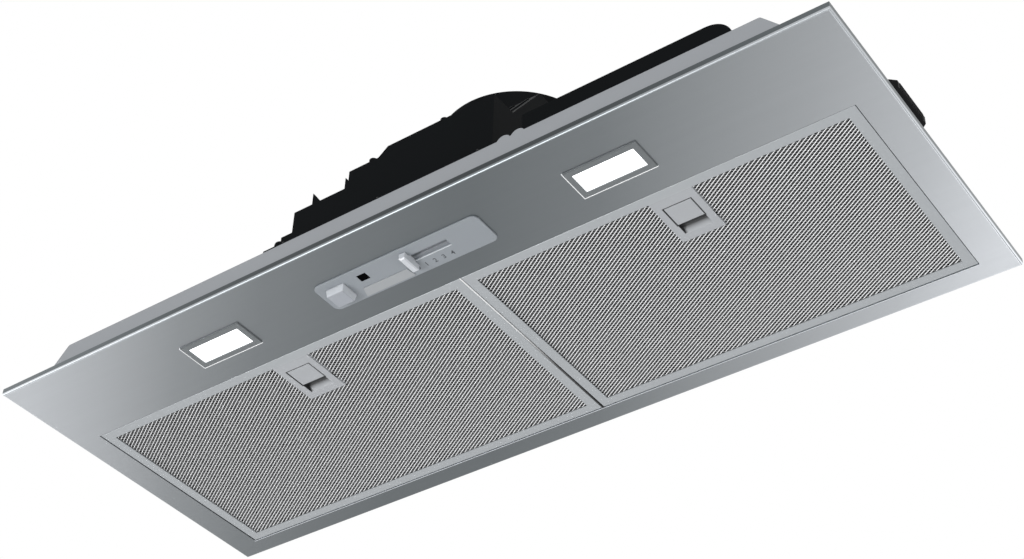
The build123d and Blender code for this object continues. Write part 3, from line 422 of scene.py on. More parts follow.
# name, colour and roughness first
finishes = {
    "face": brushedFace(),
    "divider": dividerSteel(),
    "collar": sheetMetal("zincCollar", (0.30, 0.315, 0.335), 0.45, metallic=0.6, mottle=0.05),
    "filter": sheetMetal("filterAluminium", (0.475, 0.50, 0.52), 0.42, metallic=0.6, mottle=0.04,
                         grain=500.0, stretch=(0.05, 1, 1)),
    "strand": sheetMetal("strandAluminium", (0.90, 0.91, 0.92), 0.45, metallic=0.2, mottle=0.04,
                         grain=700.0),
    "foil": sheetMetal("shadowFoil", (0.010, 0.010, 0.011), 0.6, metallic=0.3, mottle=0.3, grain=900.0),
    "spring": sheetMetal("springSteel", (0.50, 0.51, 0.53), 0.30),
    "darkSteel": sheetMetal("darkSteel", (0.012, 0.0125, 0.013), 0.55, metallic=0.2),
    "latch": latchPlastic(),
    "plate": platePlastic(),
    "knob": knobPlastic(),
    "window": mouldedPlastic("windowBlack", (0.001, 0.001, 0.0012), 0.35, grain=300.0, mottle=0.02,
                             bump=0.02, gloss=0.01),
    "bezel": mouldedPlastic("bezelGrey", (0.146, 0.159, 0.166), 0.45, grain=1500.0, mottle=0.05),
    "trim": lampTrim(),
    "lamp": lampGlow(),
    "black": mouldedPlastic("housingBlack", (0.0026, 0.0034, 0.0041), 0.52, grain=420.0, mottle=0.25,
                            bump=0.15, gloss=0.022),
    "clip": mouldedPlastic("clipBlack", (0.0050, 0.0055, 0.0062), 0.45, grain=500.0, mottle=0.2,
                           gloss=0.05),
    "cast": sheetMetal("castAluminium", (0.45, 0.46, 0.47), 0.5, metallic=0.9, mottle=0.1, grain=300.0),
    "motor": sheetMetal("motorPaint", (0.16, 0.165, 0.17), 0.45, metallic=0.2, mottle=0.08, grain=200.0),
    "rubber": mouldedPlastic("bushRubber", (0.02, 0.02, 0.02), 0.75, grain=700.0, mottle=0.1),
    "board": mouldedPlastic("boardGreen", (0.03, 0.14, 0.06), 0.45, grain=500.0, mottle=0.15),
    "terminal": mouldedPlastic("terminalWhite", (0.62, 0.62, 0.58), 0.4, grain=600.0, mottle=0.05),
    "mark": mouldedPlastic("printGrey", (0.060, 0.065, 0.075), 0.5, mottle=0.02),
}

nodeFinish = {
    "face": ["face_panel"],
    "divider": ["bay_divider"],
    "collar": ["chassis"],
    "filter": pair("filter_frame") + pair("filter_back_mesh"),
    "foil": pair("filter_core"),
    "spring": pair("filter_tabs") + pair("clip_bracket") + pair("latch_springs") + [
        "clip_pins", "clip_springs", "motor_shaft", "motor_bracket"],
    "darkSteel": ["flap_pin", "blower_screws"],
    "latch": pair("latch_plate") + pair("latch_button"),
    "plate": ["control_plate"],
    "knob": ["light_switch_knob", "speed_slider_knob"],
    "window": ["indicator_window"],
    "bezel": pair("lamp_bezel"),
    "lamp": pair("lamp_lens"),
    "cast": pair("lamp_module") + ["run_capacitor"],
    "black": pair("volute") + [
        "switch_housing", "blower_tray", "blower_cover", "outlet_spigot", "damper_flap_front",
        "damper_flap_back", "impeller", "electronics_tray", "electronics_lid", "cable_gland"],
    "clip": pair("side_clip"),
    "motor": ["motor"],
    "rubber": ["motor_bushes"],
    "board": ["circuit_board"],
    "terminal": ["terminal_block"],
}
for finish, nodes in nodeFinish.items():
    for node in nodes:
        for place in frame["nodes"][node].material_slots:
            place.material = finishes[finish]
print("finishes made:", len(finishes))


def newObject(name, data):
    made = bpy.data.objects.new(name, data)
    bpy.context.scene.collection.objects.link(made)
    return made


def meshObject(name, mesh, finish):
    mesh.materials.clear()
    mesh.materials.append(finishes[finish])
    return newObject(name, mesh)


def fromBmesh(name, bm, finish):
    bmesh.ops.remove_doubles(bm, verts=bm.verts, dist=0.001 * mm)
    bmesh.ops.recalc_face_normals(bm, faces=bm.faces)
    mesh = bpy.data.meshes.new(name)
    bm.to_mesh(mesh)
    bm.free()
    return meshObject(name, mesh, finish)


def settle(piece, body, slot, *replaced):
    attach(piece, body)
    if replaced:
        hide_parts(*replaced)


def smooth(piece, degrees):
    piece.data.shade_smooth()
    piece.data.set_sharp_from_angle(angle=math.radians(degrees))
    return piece


def addWall(bm, first, second):
    # faces between two closed rings of vertices
    count = len(first)
    for k in range(count):
        bm.faces.new((first[k], first[(k + 1) % count], second[(k + 1) % count], second[k]))


def addBar(bm, low, high, bevel):
    # softened bar between two corners
    middle = (Vector(low) + Vector(high)) / 2
    size = Vector(high) - Vector(low)
    place = Matrix.Translation(middle) @ Matrix.Diagonal((*size, 1.0))
    made = bmesh.ops.create_cube(bm, size=1.0, matrix=place)
    edges = list({edge for vert in made["verts"] for edge in vert.link_edges})
    bmesh.ops.bevel(bm, geom=edges, offset=bevel, segments=1, affect="EDGES")


def addSloped(bm, outline, x0, x1):
    # outline in y and z, drawn out along x
    near = [bm.verts.new((x0, y, z)) for y, z in outline]
    far = [bm.verts.new((x1, y, z)) for y, z in outline]
    addWall(bm, near, far)
    bm.faces.new(tuple(reversed(near)))
    bm.faces.new(tuple(far))


def addTurned(bm, profile, place, steps):
    # closed outline of (radius, height) turned round the z axis of place
    rings = []
    for k in range(steps):
        angle = 2 * math.pi * k / steps
        rings.append([bm.verts.new(place @ Vector((r * math.cos(angle), r * math.sin(angle), h)))
                      for r, h in profile])
    for k, ring in enumerate(rings):
        following = rings[(k + 1) % steps]
        for i in range(len(profile)):
            j = (i + 1) % len(profile)
            bm.faces.new((ring[i], following[i], following[j], ring[j]))


def alongAxis(origin, axis):
    # place whose z axis points along the given axis
    turn = Vector((0, 0, 1)).rotation_difference(Vector(axis))
    return Matrix.Translation(origin) @ turn.to_matrix().to_4x4()


class Tree:
    # one Geometry Nodes tree with named inputs
    def __init__(self, name, inputs):
        self.group = bpy.data.node_groups.new(name, "GeometryNodeTree")
        face = self.group.interface
        face.new_socket("Geometry", in_out="OUTPUT", socket_type="NodeSocketGeometry")
        self.ids = {}
        for key, (kind, value) in inputs.items():
            socket = face.new_socket(key, in_out="INPUT", socket_type="NodeSocket" + kind)
            self.ids[key] = (socket.identifier, value)
        self.source = self.group.nodes.new("NodeGroupInput")
        self.sink = self.group.nodes.new("NodeGroupOutput")

    def node(self, kind, settings=None, inputs=None, output=0):
        made = self.group.nodes.new(kind)
        for key, value in (settings or {}).items():
            setattr(made, key, value)
        for key, value in (inputs or {}).items():
            socket = made.inputs[key]
            if isinstance(value, str):
                self.group.links.new(self.source.outputs[value], socket)
            elif hasattr(value, "node"):
                self.group.links.new(value, socket)
            else:
                socket.default_value = value
        return made.outputs[output]

    def object(self, key):
        return self.node("GeometryNodeObjectInfo", None, {"Object": key}, "Geometry")

    def maths(self, operation, first, second):
        return self.node("ShaderNodeMath", {"operation": operation}, {0: first, 1: second})

    def finish(self, geometry):
        real = self.node("GeometryNodeRealizeInstances", None, {"Geometry": geometry})
        dressed = self.node("GeometryNodeSetMaterial", None, {"Geometry": real, "Material": "Material"})
        self.group.links.new(dressed, self.sink.inputs[0])
        return self

    def make(self, name, finish, place=Matrix(), **changes):
        holder = newObject(name + "Maker", bpy.data.meshes.new(name + "Maker"))
        modifier = holder.modifiers.new("nodes", "NODES")
        modifier.node_group = self.group
        changes = {key.replace("_", " "): value for key, value in changes.items()}
        for key, (identifier, value) in self.ids.items():
            modifier[identifier] = changes.get(key, finishes[finish] if key == "Material" else value)
        graph = bpy.context.evaluated_depsgraph_get()
        mesh = bpy.data.meshes.new_from_object(holder.evaluated_get(graph))
        holder.modifiers.remove(modifier)
        bpy.data.objects.remove(holder)
        mesh.transform(place)
        return meshObject(name, mesh, finish)


def patternTree():
    # an item repeated: each copy is one step further and one turn more than the last
    tree = Tree("pattern", {"Item": ("Object", None), "Material": ("Material", None), "Count": ("Int", 4),
                            "Start": ("Vector", (0, 0, 0)), "Step": ("Vector", (0, 0, 0)),
                            "Turn": ("Vector", (0, 0, 0))})
    index = tree.node("GeometryNodeInputIndex")
    shift = tree.node("ShaderNodeVectorMath", {"operation": "SCALE"}, {0: "Step", "Scale": index})
    place = tree.node("ShaderNodeVectorMath", {"operation": "ADD"}, {0: shift, 1: "Start"})
    angle = tree.node("ShaderNodeVectorMath", {"operation": "SCALE"}, {0: "Turn", "Scale": index})
    points = tree.node("GeometryNodePoints", None, {"Count": "Count", "Position": place})
    turned = tree.node("FunctionNodeEulerToRotation", None, {0: angle})
    return tree.finish(tree.node("GeometryNodeInstanceOnPoints", None,
                                 {"Points": points, "Instance": tree.object("Item"), "Rotation": turned}))


def placesTree():
    # an item at each vertex of another object
    tree = Tree("atPlaces", {"Item": ("Object", None), "Places": ("Object", None),
                             "Material": ("Material", None)})
    return tree.finish(tree.node("GeometryNodeInstanceOnPoints", None,
                                 {"Points": tree.object("Places"), "Instance": tree.object("Item")}))


pattern = patternTree()
atPlaces = placesTree()


def repeat(name, finish, build, **inputs):
    # builds one item, repeats it with the pattern tree and drops the item
    bm = bmesh.new()
    build(bm)
    item = fromBmesh(name + "Item", bm, finish)
    piece = pattern.make(name, finish, Item=item, **inputs)
    bpy.data.objects.remove(item)
    return piece


def setOut(name, finish, item, points, degrees):
    # a copy of the item at each point, after which the item goes
    mesh = bpy.data.meshes.new(name + "Places")
    mesh.from_pydata(points, [], [])
    places = newObject(name + "Places", mesh)
    piece = smooth(atPlaces.make(name, finish, Item=item, Places=places), degrees)
    bpy.data.objects.remove(item)
    bpy.data.objects.remove(places)
    return piece


view = {"place": (0.6351, -0.8327, -0.8223), "azimuth": 36.33, "rise": 39.66, "roll": 1.81,
        "lens": 65.0, "sensor": 36.0, "clipStart": 0.01}


def makeCamera():
    azimuth, rise, roll = (math.radians(view[k]) for k in ("azimuth", "rise", "roll"))
    flat = math.cos(rise)
    forward = Vector((-math.sin(azimuth) * flat, math.cos(azimuth) * flat, math.sin(rise)))
    level = forward.cross(Vector((0, 0, 1))).normalized()
    right = level * math.cos(roll) + level.cross(forward) * math.sin(roll)
    up = right.cross(forward)
    data = bpy.data.cameras.new("camera")
    data.lens = view["lens"]
    data.sensor_width = view["sensor"]
    data.clip_start = view["clipStart"]
    camera = newObject("camera", data)
    turned = Matrix((right, up, -forward)).transposed().to_4x4()
    camera.matrix_world = Matrix.Translation(view["place"]) @ turned
    bpy.context.scene.camera = camera


lamps = {
    "belowLeft": {"place": (-1.05, -1.75, -1.30), "size": 0.9, "power": 30.0},
    "belowRight": {"place": (1.7, 0.9, -1.2), "size": 1.6, "power": 8.0},
    "above": {"place": (1.2, -1.6, 9.0), "size": 4.0, "power": 390.0},
}
light = {"world": 0.50}


def makeLight():
    for name, facts in lamps.items():
        data = bpy.data.lights.new(name, "AREA")
        data.shape = "DISK"
        data.size = facts["size"]
        data.energy = facts["power"]
        lamp = newObject(name, data)
        lamp.location = facts["place"]
        lamp.rotation_euler = (-Vector(facts["place"])).to_track_quat("-Z", "Y").to_euler()
    world = bpy.data.worlds.new("studio")
    world.use_nodes = True
    bpy.context.scene.world = world
    w = Nodes(world.node_tree)
    # the camera, gloss and glass see plain white, the rest of the scene a softer light
    eye, gloss, glass = (w.node("LightPath", output="Is " + ray + " Ray")
                         for ray in ("Camera", "Glossy", "Transmission"))
    strength = eye.max(gloss).max(glass) * (1 - light["world"]) + light["world"]
    back = w.node("Background", None, {"Color": (1, 1, 1), "Strength": strength})
    output = w.tree.nodes.new("ShaderNodeOutputWorld")
    w.tree.links.new(back.socket, output.inputs[0])


floor = {"level": -1.55, "size": 10.0, "squares": 8, "roughness": 0.9, "cloud": 3.0,
         "greys": ((0.4, 0.88), (0.6, 0.90))}


def makeFloor():
    bm = bmesh.new()
    squares = floor["squares"]
    bmesh.ops.create_grid(bm, x_segments=squares, y_segments=squares, size=floor["size"] / 2)
    bmesh.ops.translate(bm, verts=bm.verts, vec=(0, 0, floor["level"]))
    s = Shader("paleFloor", Roughness=floor["roughness"])
    s.set(Base_Color=s.greys(s.noise(floor["cloud"]), floor["greys"]))
    finishes["floor"] = s.material
    fromBmesh("floor", bm, "floor")


makeCamera()
makeLight()
makeFloor()
bpy.context.scene.view_settings.view_transform = "Standard"
print("camera, light and floor made")


# expanded mesh in the filters
net = {
    "pitchX": 4.6 * mm, "pitchY": 2.86 * mm,
    "holeLong": 0.955, "holeShort": 0.84,       # open share of the pitch
    "tilt": 0.20 * mm, "dip": 0.25 * mm,        # how far the strands lean and bend
    "wall": 0.07 * mm, "lift": 0.02 * mm, "margin": 1.5 * mm,
    "coarse": 2.0,                              # back layer against the face layer
}


def strandCell(scale):
    # one hole of the mesh: two tilted strands along it, two thinner ones that dip across it
    bm = bmesh.new()
    halfX, halfY = net["pitchX"] * scale / 2, net["pitchY"] * scale / 2
    tilt, dip = net["tilt"] * scale, net["dip"] * scale
    a, b = net["holeLong"] / 2, net["holeShort"] / 2

    def point(along, across, z):
        return bm.verts.new((halfX * (along + across), halfY * (across - along), z))

    frontLeft, frontRight = point(-0.5, -0.5, tilt), point(0.5, -0.5, tilt)
    backRight, backLeft = point(0.5, 0.5, tilt), point(-0.5, 0.5, tilt)
    leftDip, rightDip = point(-0.5, 0.0, tilt + dip), point(0.5, 0.0, tilt + dip)
    hole = ((-a, -b, 0.0), (a, -b, 0.0), (a, b, 2 * tilt), (-a, b, 2 * tilt))
    rim = [point(x, y, z) for x, y, z in hole]
    deep = [point(x, y, z + net["wall"] * scale) for x, y, z in hole]
    strands = [(frontLeft, frontRight, rim[1], rim[0]), (backRight, backLeft, rim[3], rim[2]),
               (leftDip, frontLeft, rim[0]), (leftDip, rim[0], rim[3]), (leftDip, rim[3], backLeft),
               (rightDip, backRight, rim[2]), (rightDip, rim[2], rim[1]), (rightDip, rim[1], frontRight)]
    for corners in strands:
        bm.faces.new(tuple(reversed(corners)))
    addWall(bm, rim, deep)
    mesh = bpy.data.meshes.new("strandCell")
    bm.to_mesh(mesh)
    bm.free()
    return newObject("strandCell", mesh)


def netTree():
    # two staggered grids of cells, with none under the latch plate
    tree = Tree("expandedNet", {
        "Cell": ("Object", None), "Material": ("Material", None), "Place": ("Vector", (0, 0, 0)),
        "Length": ("Float", 0.3), "Depth": ("Float", 0.16), "Columns": ("Int", 60), "Rows": ("Int", 50),
        "Shift": ("Vector", (0, 0, 0)), "Latch X": ("Float", 0.0), "Latch Half": ("Float", 0.01),
        "Latch End": ("Float", 0.0)})
    grid = tree.node("GeometryNodeMeshGrid", None, {"Size X": "Length", "Size Y": "Depth",
                                                   "Vertices X": "Columns", "Vertices Y": "Rows"})
    moved = tree.node("GeometryNodeTransform", None, {"Geometry": grid, "Translation": "Place"})
    staggered = tree.node("GeometryNodeTransform", None, {"Geometry": moved, "Translation": "Shift"})
    join = tree.group.nodes.new("GeometryNodeJoinGeometry")
    for layer in (moved, staggered):
        tree.group.links.new(layer, join.inputs[0])
    split = tree.group.nodes.new("ShaderNodeSeparateXYZ")
    tree.group.links.new(tree.node("GeometryNodeInputPosition"), split.inputs[0])
    away = tree.maths("ABSOLUTE", tree.maths("SUBTRACT", split.outputs[0], "Latch X"), 0.0)
    beside = tree.maths("LESS_THAN", away, "Latch Half")
    before = tree.maths("LESS_THAN", split.outputs[1], "Latch End")
    under = tree.maths("MULTIPLY", beside, before)
    kept = tree.node("GeometryNodeDeleteGeometry", {"domain": "POINT"},
                     {"Geometry": join.outputs[0], "Selection": under})
    return tree.finish(tree.node("GeometryNodeInstanceOnPoints", None,
                                 {"Points": kept, "Instance": tree.object("Cell")}))


def makeNets():
    tree = netTree()
    for layer, scale, finish in (("face", 1.0, "strand"), ("back", net["coarse"], "filter")):
        cell = strandCell(scale)
        pitchX, pitchY = net["pitchX"] * scale, net["pitchY"] * scale
        for side in sides:
            node = "filter_" + layer + "_mesh_" + side
            low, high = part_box(node)
            plateLow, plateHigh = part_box("latch_plate_" + side)
            columns = int((high.x - low.x - 2 * net["margin"]) / pitchX)
            rows = int((high.y - low.y - 2 * net["margin"]) / pitchY)
            middle = (low + high) / 2
            piece = tree.make(
                layer + "Net_" + side, finish, Cell=cell, Place=(middle.x, middle.y, low.z + net["lift"]),
                Length=(columns - 1) * pitchX, Depth=(rows - 1) * pitchY, Columns=columns, Rows=rows,
                Shift=(pitchX / 2, pitchY / 2, 0.0), Latch_X=(plateLow.x + plateHigh.x) / 2,
                Latch_Half=(plateHigh.x - plateLow.x - pitchX) / 2, Latch_End=plateHigh.y - pitchY / 2)
            settle(piece, "filter_" + side, "filter_aluminium", node)
            print("net", layer, side, len(piece.data.polygons), "faces")
        bpy.data.objects.remove(cell)


makeNets()


# figures of the speed scale on the control plate
speedScale = {"marks": "01234", "first": 6.3 * mm, "pitch": 7.35 * mm, "behind": 8.2 * mm,
              "height": 5.8 * mm, "bolder": 0.06 * mm, "proud": 0.03 * mm, "padProud": 0.5 * mm}


def makeScale():
    low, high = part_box("control_plate")
    y, z = (low.y + high.y) / 2 + speedScale["behind"], low.z + speedScale["padProud"]
    bm = bmesh.new()
    for k, mark in enumerate(speedScale["marks"]):
        data = bpy.data.curves.new("mark", "FONT")
        data.body = mark
        data.size = speedScale["height"]
        data.align_x = "CENTER"
        data.align_y = "CENTER"
        data.offset = speedScale["bolder"]
        data.extrude = speedScale["proud"]
        text = newObject("mark", data)
        graph = bpy.context.evaluated_depsgraph_get()
        mesh = bpy.data.meshes.new_from_object(text.evaluated_get(graph))
        mesh.transform(Matrix.Rotation(math.pi, 4, "X"))
        mesh.transform(Matrix.Translation((speedScale["first"] + k * speedScale["pitch"], y, z)))
        bm.from_mesh(mesh)
        bpy.data.meshes.remove(mesh)
        bpy.data.objects.remove(text)
    settle(fromBmesh("speedScale", bm, "mark"), "housing", "window_black")


makeScale()


# thin metal hem round each lamp
lampHem = {"inside": 0.55 * mm, "chamfer": 0.1 * mm, "flat": 0.05 * mm, "outside": 0.25 * mm,
           "cover": 0.08 * mm}


def makeLampHems():
    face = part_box("face_panel")[0].z
    inside = -lampHem["inside"]
    for side in sides:
        low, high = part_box("lamp_bezel_" + side)
        top = low.z - lampHem["cover"]
        profile = ((inside, low.z), (inside + lampHem["chamfer"], top), (lampHem["flat"], top),
                   (lampHem["outside"], face))
        bm = bmesh.new()
        rings = []
        for out, z in profile:
            corners = ((low.x - out, low.y - out), (high.x + out, low.y - out),
                       (high.x + out, high.y + out), (low.x - out, high.y + out))
            rings.append([bm.verts.new((x, y, z)) for x, y in corners])
        for first, second in zip(rings, rings[1:] + rings[:1]):
            addWall(bm, first, second)
        settle(fromBmesh("lampHem_" + side, bm, "trim"), "housing", "face_steel")


makeLampHems()
print("face pieces made")


# coil springs behind the latch buttons and at the side clips
springs = {
    "latch": {"turns": 9.0, "radius": 1.15 * mm, "wire": 0.25 * mm, "length": 9.5 * mm},
    "clip": {"turns": 12.0, "radius": 1.65 * mm, "wire": 0.40 * mm, "length": 10.4 * mm},
    "steps": 18, "facets": 8, "sharp": 60,
}


def coilTree():
    # round wire wound along z
    tree = Tree("coil", {"Turns": ("Float", 8.0), "Radius": ("Float", 0.002), "Wire": ("Float", 0.0003),
                         "Length": ("Float", 0.01), "Material": ("Material", None)})
    spiral = tree.node("GeometryNodeCurveSpiral", None, {
        "Resolution": springs["steps"], "Rotations": "Turns", "Start Radius": "Radius",
        "End Radius": "Radius", "Height": "Length"})
    wire = tree.node("GeometryNodeCurvePrimitiveCircle", None,
                     {"Resolution": springs["facets"], "Radius": "Wire"})
    return tree.finish(tree.node("GeometryNodeCurveToMesh", None,
                                 {"Curve": spiral, "Profile Curve": wire, "Fill Caps": True}))


coil = coilTree()


def makeSprings(name, kind, body, node):
    # two coils, one at each end of the node's box
    facts = springs[kind]
    low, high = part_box(node)
    inset, length = (high.z - low.z) / 2, facts["length"]
    y, z = (low.y + high.y - length) / 2, (low.z + high.z) / 2
    item = coil.make(name + "Item", "spring", alongAxis((0, 0, 0), (0, 1, 0)), Turns=facts["turns"],
                     Radius=facts["radius"], Wire=facts["wire"], Length=length)
    piece = setOut(name, "spring", item, [(low.x + inset, y, z), (high.x - inset, y, z)], springs["sharp"])
    settle(piece, body, "spring_steel", node)
    print("springs", name, len(piece.data.polygons), "faces")


for side in sides:
    makeSprings("latchSprings_" + side, "latch", "filter_" + side, "latch_springs_" + side)
makeSprings("clipSprings", "clip", "housing", "clip_springs")


# screws with a cross recess
screws = {
    "blower": {"head": 2.8 * mm, "height": 2.0 * mm, "shank": 1.6 * mm, "length": 6.0 * mm},
    "lid": {"head": 2.4 * mm, "height": 1.5 * mm, "shank": 1.2 * mm, "length": 1.9 * mm,
            "fromEnds": (7 * mm, 27 * mm), "fromEdges": 7 * mm},
    "crown": ((1.0, 0.0), (1.0, 0.45), (0.9, 0.8), (0.72, 1.0)),    # shares of the head's radius and height
    "steps": 24, "sharp": 35,
    "slot": 0.42 * mm, "slotReach": 1.45 * mm, "slotDepth": 0.9 * mm, "slotTaper": 0.7,
}


def addScrew(bm, facts):
    height, steps, taper = facts["height"], screws["steps"], screws["slotTaper"]
    outline = [(facts["shank"], -facts["length"]), (facts["shank"], 0.0)]
    outline += [(facts["head"] * out, height * up) for out, up in screws["crown"]]
    rings = []
    for radius, z in outline:
        rings.append([bm.verts.new((radius * math.cos(2 * math.pi * k / steps),
                                    radius * math.sin(2 * math.pi * k / steps), z)) for k in range(steps)])
    for lower, upper in zip(rings, rings[1:]):
        addWall(bm, lower, upper)
    bm.faces.new(tuple(reversed(rings[0])))
    w, r = screws["slot"], screws["slotReach"]
    cross = [(r, -w), (r, w), (w, w)]
    while len(cross) < 12:      # each further arm is the last one turned by a quarter
        x, y = cross[-3]
        cross.append((-y, x))
    mouth = [bm.verts.new((x, y, height)) for x, y in cross]
    pit = [bm.verts.new((x * taper, y * taper, height - screws["slotDepth"])) for x, y in cross]
    edges = [bm.edges.new(ends) for ends in zip(mouth, mouth[1:] + mouth[:1])]
    edges += [bm.edges.get(ends) for ends in zip(rings[-1], rings[-1][1:] + rings[-1][:1])]
    bmesh.ops.triangle_fill(bm, edges=edges, use_beauty=True)
    addWall(bm, mouth, pit)
    bm.faces.new(tuple(pit))


def makeScrews(name, kind, points, *replaced):
    bm = bmesh.new()
    addScrew(bm, screws[kind])
    item = fromBmesh(name + "Item", bm, "darkSteel")
    piece = setOut(name, "darkSteel", item, points, screws["sharp"])
    settle(piece, "housing", "spring_steel", *replaced)


def blowerPoints():
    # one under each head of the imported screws
    low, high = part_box("blower_screws")
    reach = screws["blower"]["head"]
    xs = (low.x + reach, (low.x + high.x) / 2, high.x - reach)
    z = high.z - screws["blower"]["height"]
    return [(x, y, z) for x in xs for y in (low.y + reach, high.y - reach)]


def lidPoints():
    low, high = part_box("electronics_lid")
    near, far = screws["lid"]["fromEnds"]
    edge = screws["lid"]["fromEdges"]
    return [(x, y, high.z) for x in (low.x + near, high.x - far) for y in (low.y + edge, high.y - edge)]


makeScrews("blowerScrews", "blower", blowerPoints(), "blower_screws")
makeScrews("lidScrews", "lid", lidPoints())
print("screws made")


# fan wheel
wheel = {"blades": 36, "inner": 36.5 * mm, "outer": 44.6 * mm, "thick": 0.7 * mm, "bow": 5.4, "steps": 6,
         "clear": 0.3 * mm, "bladeSharp": 50, "ring": 2.0 * mm, "ringInner": 36.1 * mm, "web": 1.0 * mm,
         "facets": 72, "discSharp": 35,
         "hub": 12.0 * mm, "hubHalf": 10.0 * mm, "bore": 4.05 * mm, "chamfer": (1.5 * mm, 1.0 * mm),
         "flare": 2.0 * mm}


def addBlade(bm):
    # forward-curved blade, drawn out along x; the wheel's middle is at the origin
    low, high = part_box("impeller")
    half = (high.x - low.x) / 2 - wheel["clear"]
    steps, thick = wheel["steps"], wheel["thick"]
    line = []
    for k in range(steps + 1):
        t = k / steps
        radius = wheel["inner"] + t * (wheel["outer"] - wheel["inner"])
        line.append((radius, math.radians(wheel["bow"]) * (2 * t - 1) ** 2))
    outline = [(r * math.cos(a), r * math.sin(a)) for r, a in line]
    outline += [(r * math.cos(a) - thick * math.sin(a), r * math.sin(a) + thick * math.cos(a))
                for r, a in reversed(line)]
    near = [bm.verts.new((-half, y, z)) for y, z in outline]
    far = [bm.verts.new((half, y, z)) for y, z in outline]
    addWall(bm, near, far)
    last = len(outline) - 1
    for k in range(steps):
        for ring in (near, far):
            bm.faces.new((ring[k], ring[k + 1], ring[last - 1 - k], ring[last - k]))


def makeWheel():
    low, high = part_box("impeller")
    middle = (low + high) / 2
    turn = 2 * math.pi / wheel["blades"]
    blades = repeat("wheelBlades", "black", addBlade, Count=wheel["blades"], Turn=(turn, 0.0, 0.0),
                    place=Matrix.Translation(middle))
    settle(smooth(blades, wheel["bladeSharp"]), "fan", "black_plastic", "impeller")
    bm = bmesh.new()
    place = alongAxis(middle, (1, 0, 0))
    half, rim, inner = (high.x - low.x) / 2, (high.z - low.z) / 2, wheel["ringInner"]
    for end in (-1, 1):
        near, far = end * half, end * (half - wheel["ring"])
        addTurned(bm, ((rim, near), (rim, far), (inner, far), (inner, near)), place, wheel["facets"])
    hub, long, web = wheel["hub"], wheel["hubHalf"], wheel["web"]
    inset, drop = wheel["chamfer"]
    outline = [(wheel["bore"], -long), (hub - inset, -long), (hub, drop - long),
               (hub + wheel["flare"], -web), (rim, -web)]
    outline += [(r, -h) for r, h in reversed(outline)]
    addTurned(bm, outline, place, wheel["facets"])
    discs = smooth(fromBmesh("wheelDiscs", bm, "black"), wheel["discSharp"])
    settle(discs, "fan", "black_plastic", "impeller")
    print("fan wheel made:", wheel["blades"], "blades")


makeWheel()


def row(name, build, facts, origin=0.0):
    # a straight row along x on the black housing
    piece = repeat(name, "black", build, Count=facts["count"], Start=(origin + facts["first"], 0.0, 0.0),
                   Step=(facts["step"], 0.0, 0.0))
    settle(piece, "housing", "black_plastic")


# ribs on the blower cover's rear wall and slopes
coverRibs = {
    "width": 1.4 * mm, "proud": 1.0 * mm,
    "rear": {"count": 14, "first": -78.0 * mm, "step": 12.4 * mm, "foot": 50.0 * mm, "height": 40.0 * mm,
             "sunk": 0.4 * mm, "bevel": 0.3 * mm},
    "slope": {"count": 7, "first": 6.0 * mm, "step": 12.8 * mm, "margin": 0.08,
              # the slopes' lower and upper ends in y and z
              "lower": ((-98.0 * mm, 86.0 * mm), (-66.0 * mm, 132.0 * mm)),
              "upper": ((120.0 * mm, 96.0 * mm), (66.0 * mm, 132.0 * mm))},
}


def makeCoverRibs():
    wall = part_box("blower_cover")[1].y
    half, proud = coverRibs["width"] / 2, coverRibs["proud"]
    rear, slope = coverRibs["rear"], coverRibs["slope"]

    def rearRib(bm):
        addBar(bm, (-half, wall - rear["sunk"], rear["foot"]),
               (half, wall + proud, rear["foot"] + rear["height"]), rear["bevel"])

    row("coverRibs", rearRib, rear)
    for name in ("lower", "upper"):
        start, end = (Vector(point) for point in slope[name])
        run = end - start
        out = Vector((-run.y, run.x)).normalized() * proud
        out = out if out.y > 0 else -out
        first, last = start + run * slope["margin"], start + run * (1 - slope["margin"])

        def slopeRib(bm):
            addSloped(bm, [first - out, first + out, last + out, last - out], -half, half)

        row("slopeRibs_" + name, slopeRib, slope)


# snap catches along the cover's rear edge
snaps = {"places": (-62.0 * mm, -2.0 * mm, 66.0 * mm), "width": 10.0 * mm,
         "heights": (38.0 * mm, 46.5 * mm), "sunk": 0.3 * mm, "proud": 1.6 * mm, "bevel": 0.5 * mm}


def makeCoverSnaps():
    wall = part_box("blower_cover")[1].y
    foot, top = snaps["heights"]
    bm = bmesh.new()
    for x in snaps["places"]:
        addBar(bm, (x - snaps["width"] / 2, wall - snaps["sunk"], foot),
               (x + snaps["width"] / 2, wall + snaps["proud"], top), snaps["bevel"])
    settle(fromBmesh("coverSnaps", bm, "black"), "housing", "black_plastic")


# raised beads on the chassis
beads = {
    "top": 28.5 * mm, "width": 3.2 * mm, "flat": 0.5, "proud": 0.8 * mm, "sunk": 0.2 * mm,
    # ends along x and places across y, on each side of the blower
    "left": ((-286.0 * mm, -118.0 * mm), (-70.0 * mm, 0.0, 70.0 * mm)),
    "right": ((112.0 * mm, 286.0 * mm), (-32.0 * mm, 28.0 * mm, 88.0 * mm)),
}


def makeBeads():
    top, half = beads["top"], beads["width"] / 2
    foot, crest, flat = top - beads["sunk"], top + beads["proud"], half * beads["flat"]
    bm = bmesh.new()
    for side in sides:
        ends, places = beads[side]
        for y in places:
            addSloped(bm, [(y - half, foot), (y - half, top), (y - flat, crest), (y + flat, crest),
                           (y + half, top), (y + half, foot)], *ends)
    settle(fromBmesh("trayBeads", bm, "collar"), "housing", "coated_steel")


# louvres on the electronics lid
louvres = {"count": 12, "first": 26.0 * mm, "step": 8.0 * mm, "width": 1.8 * mm, "length": 20.0 * mm,
           "lean": 0.2, "proud": 0.9 * mm, "sunk": 0.2 * mm}


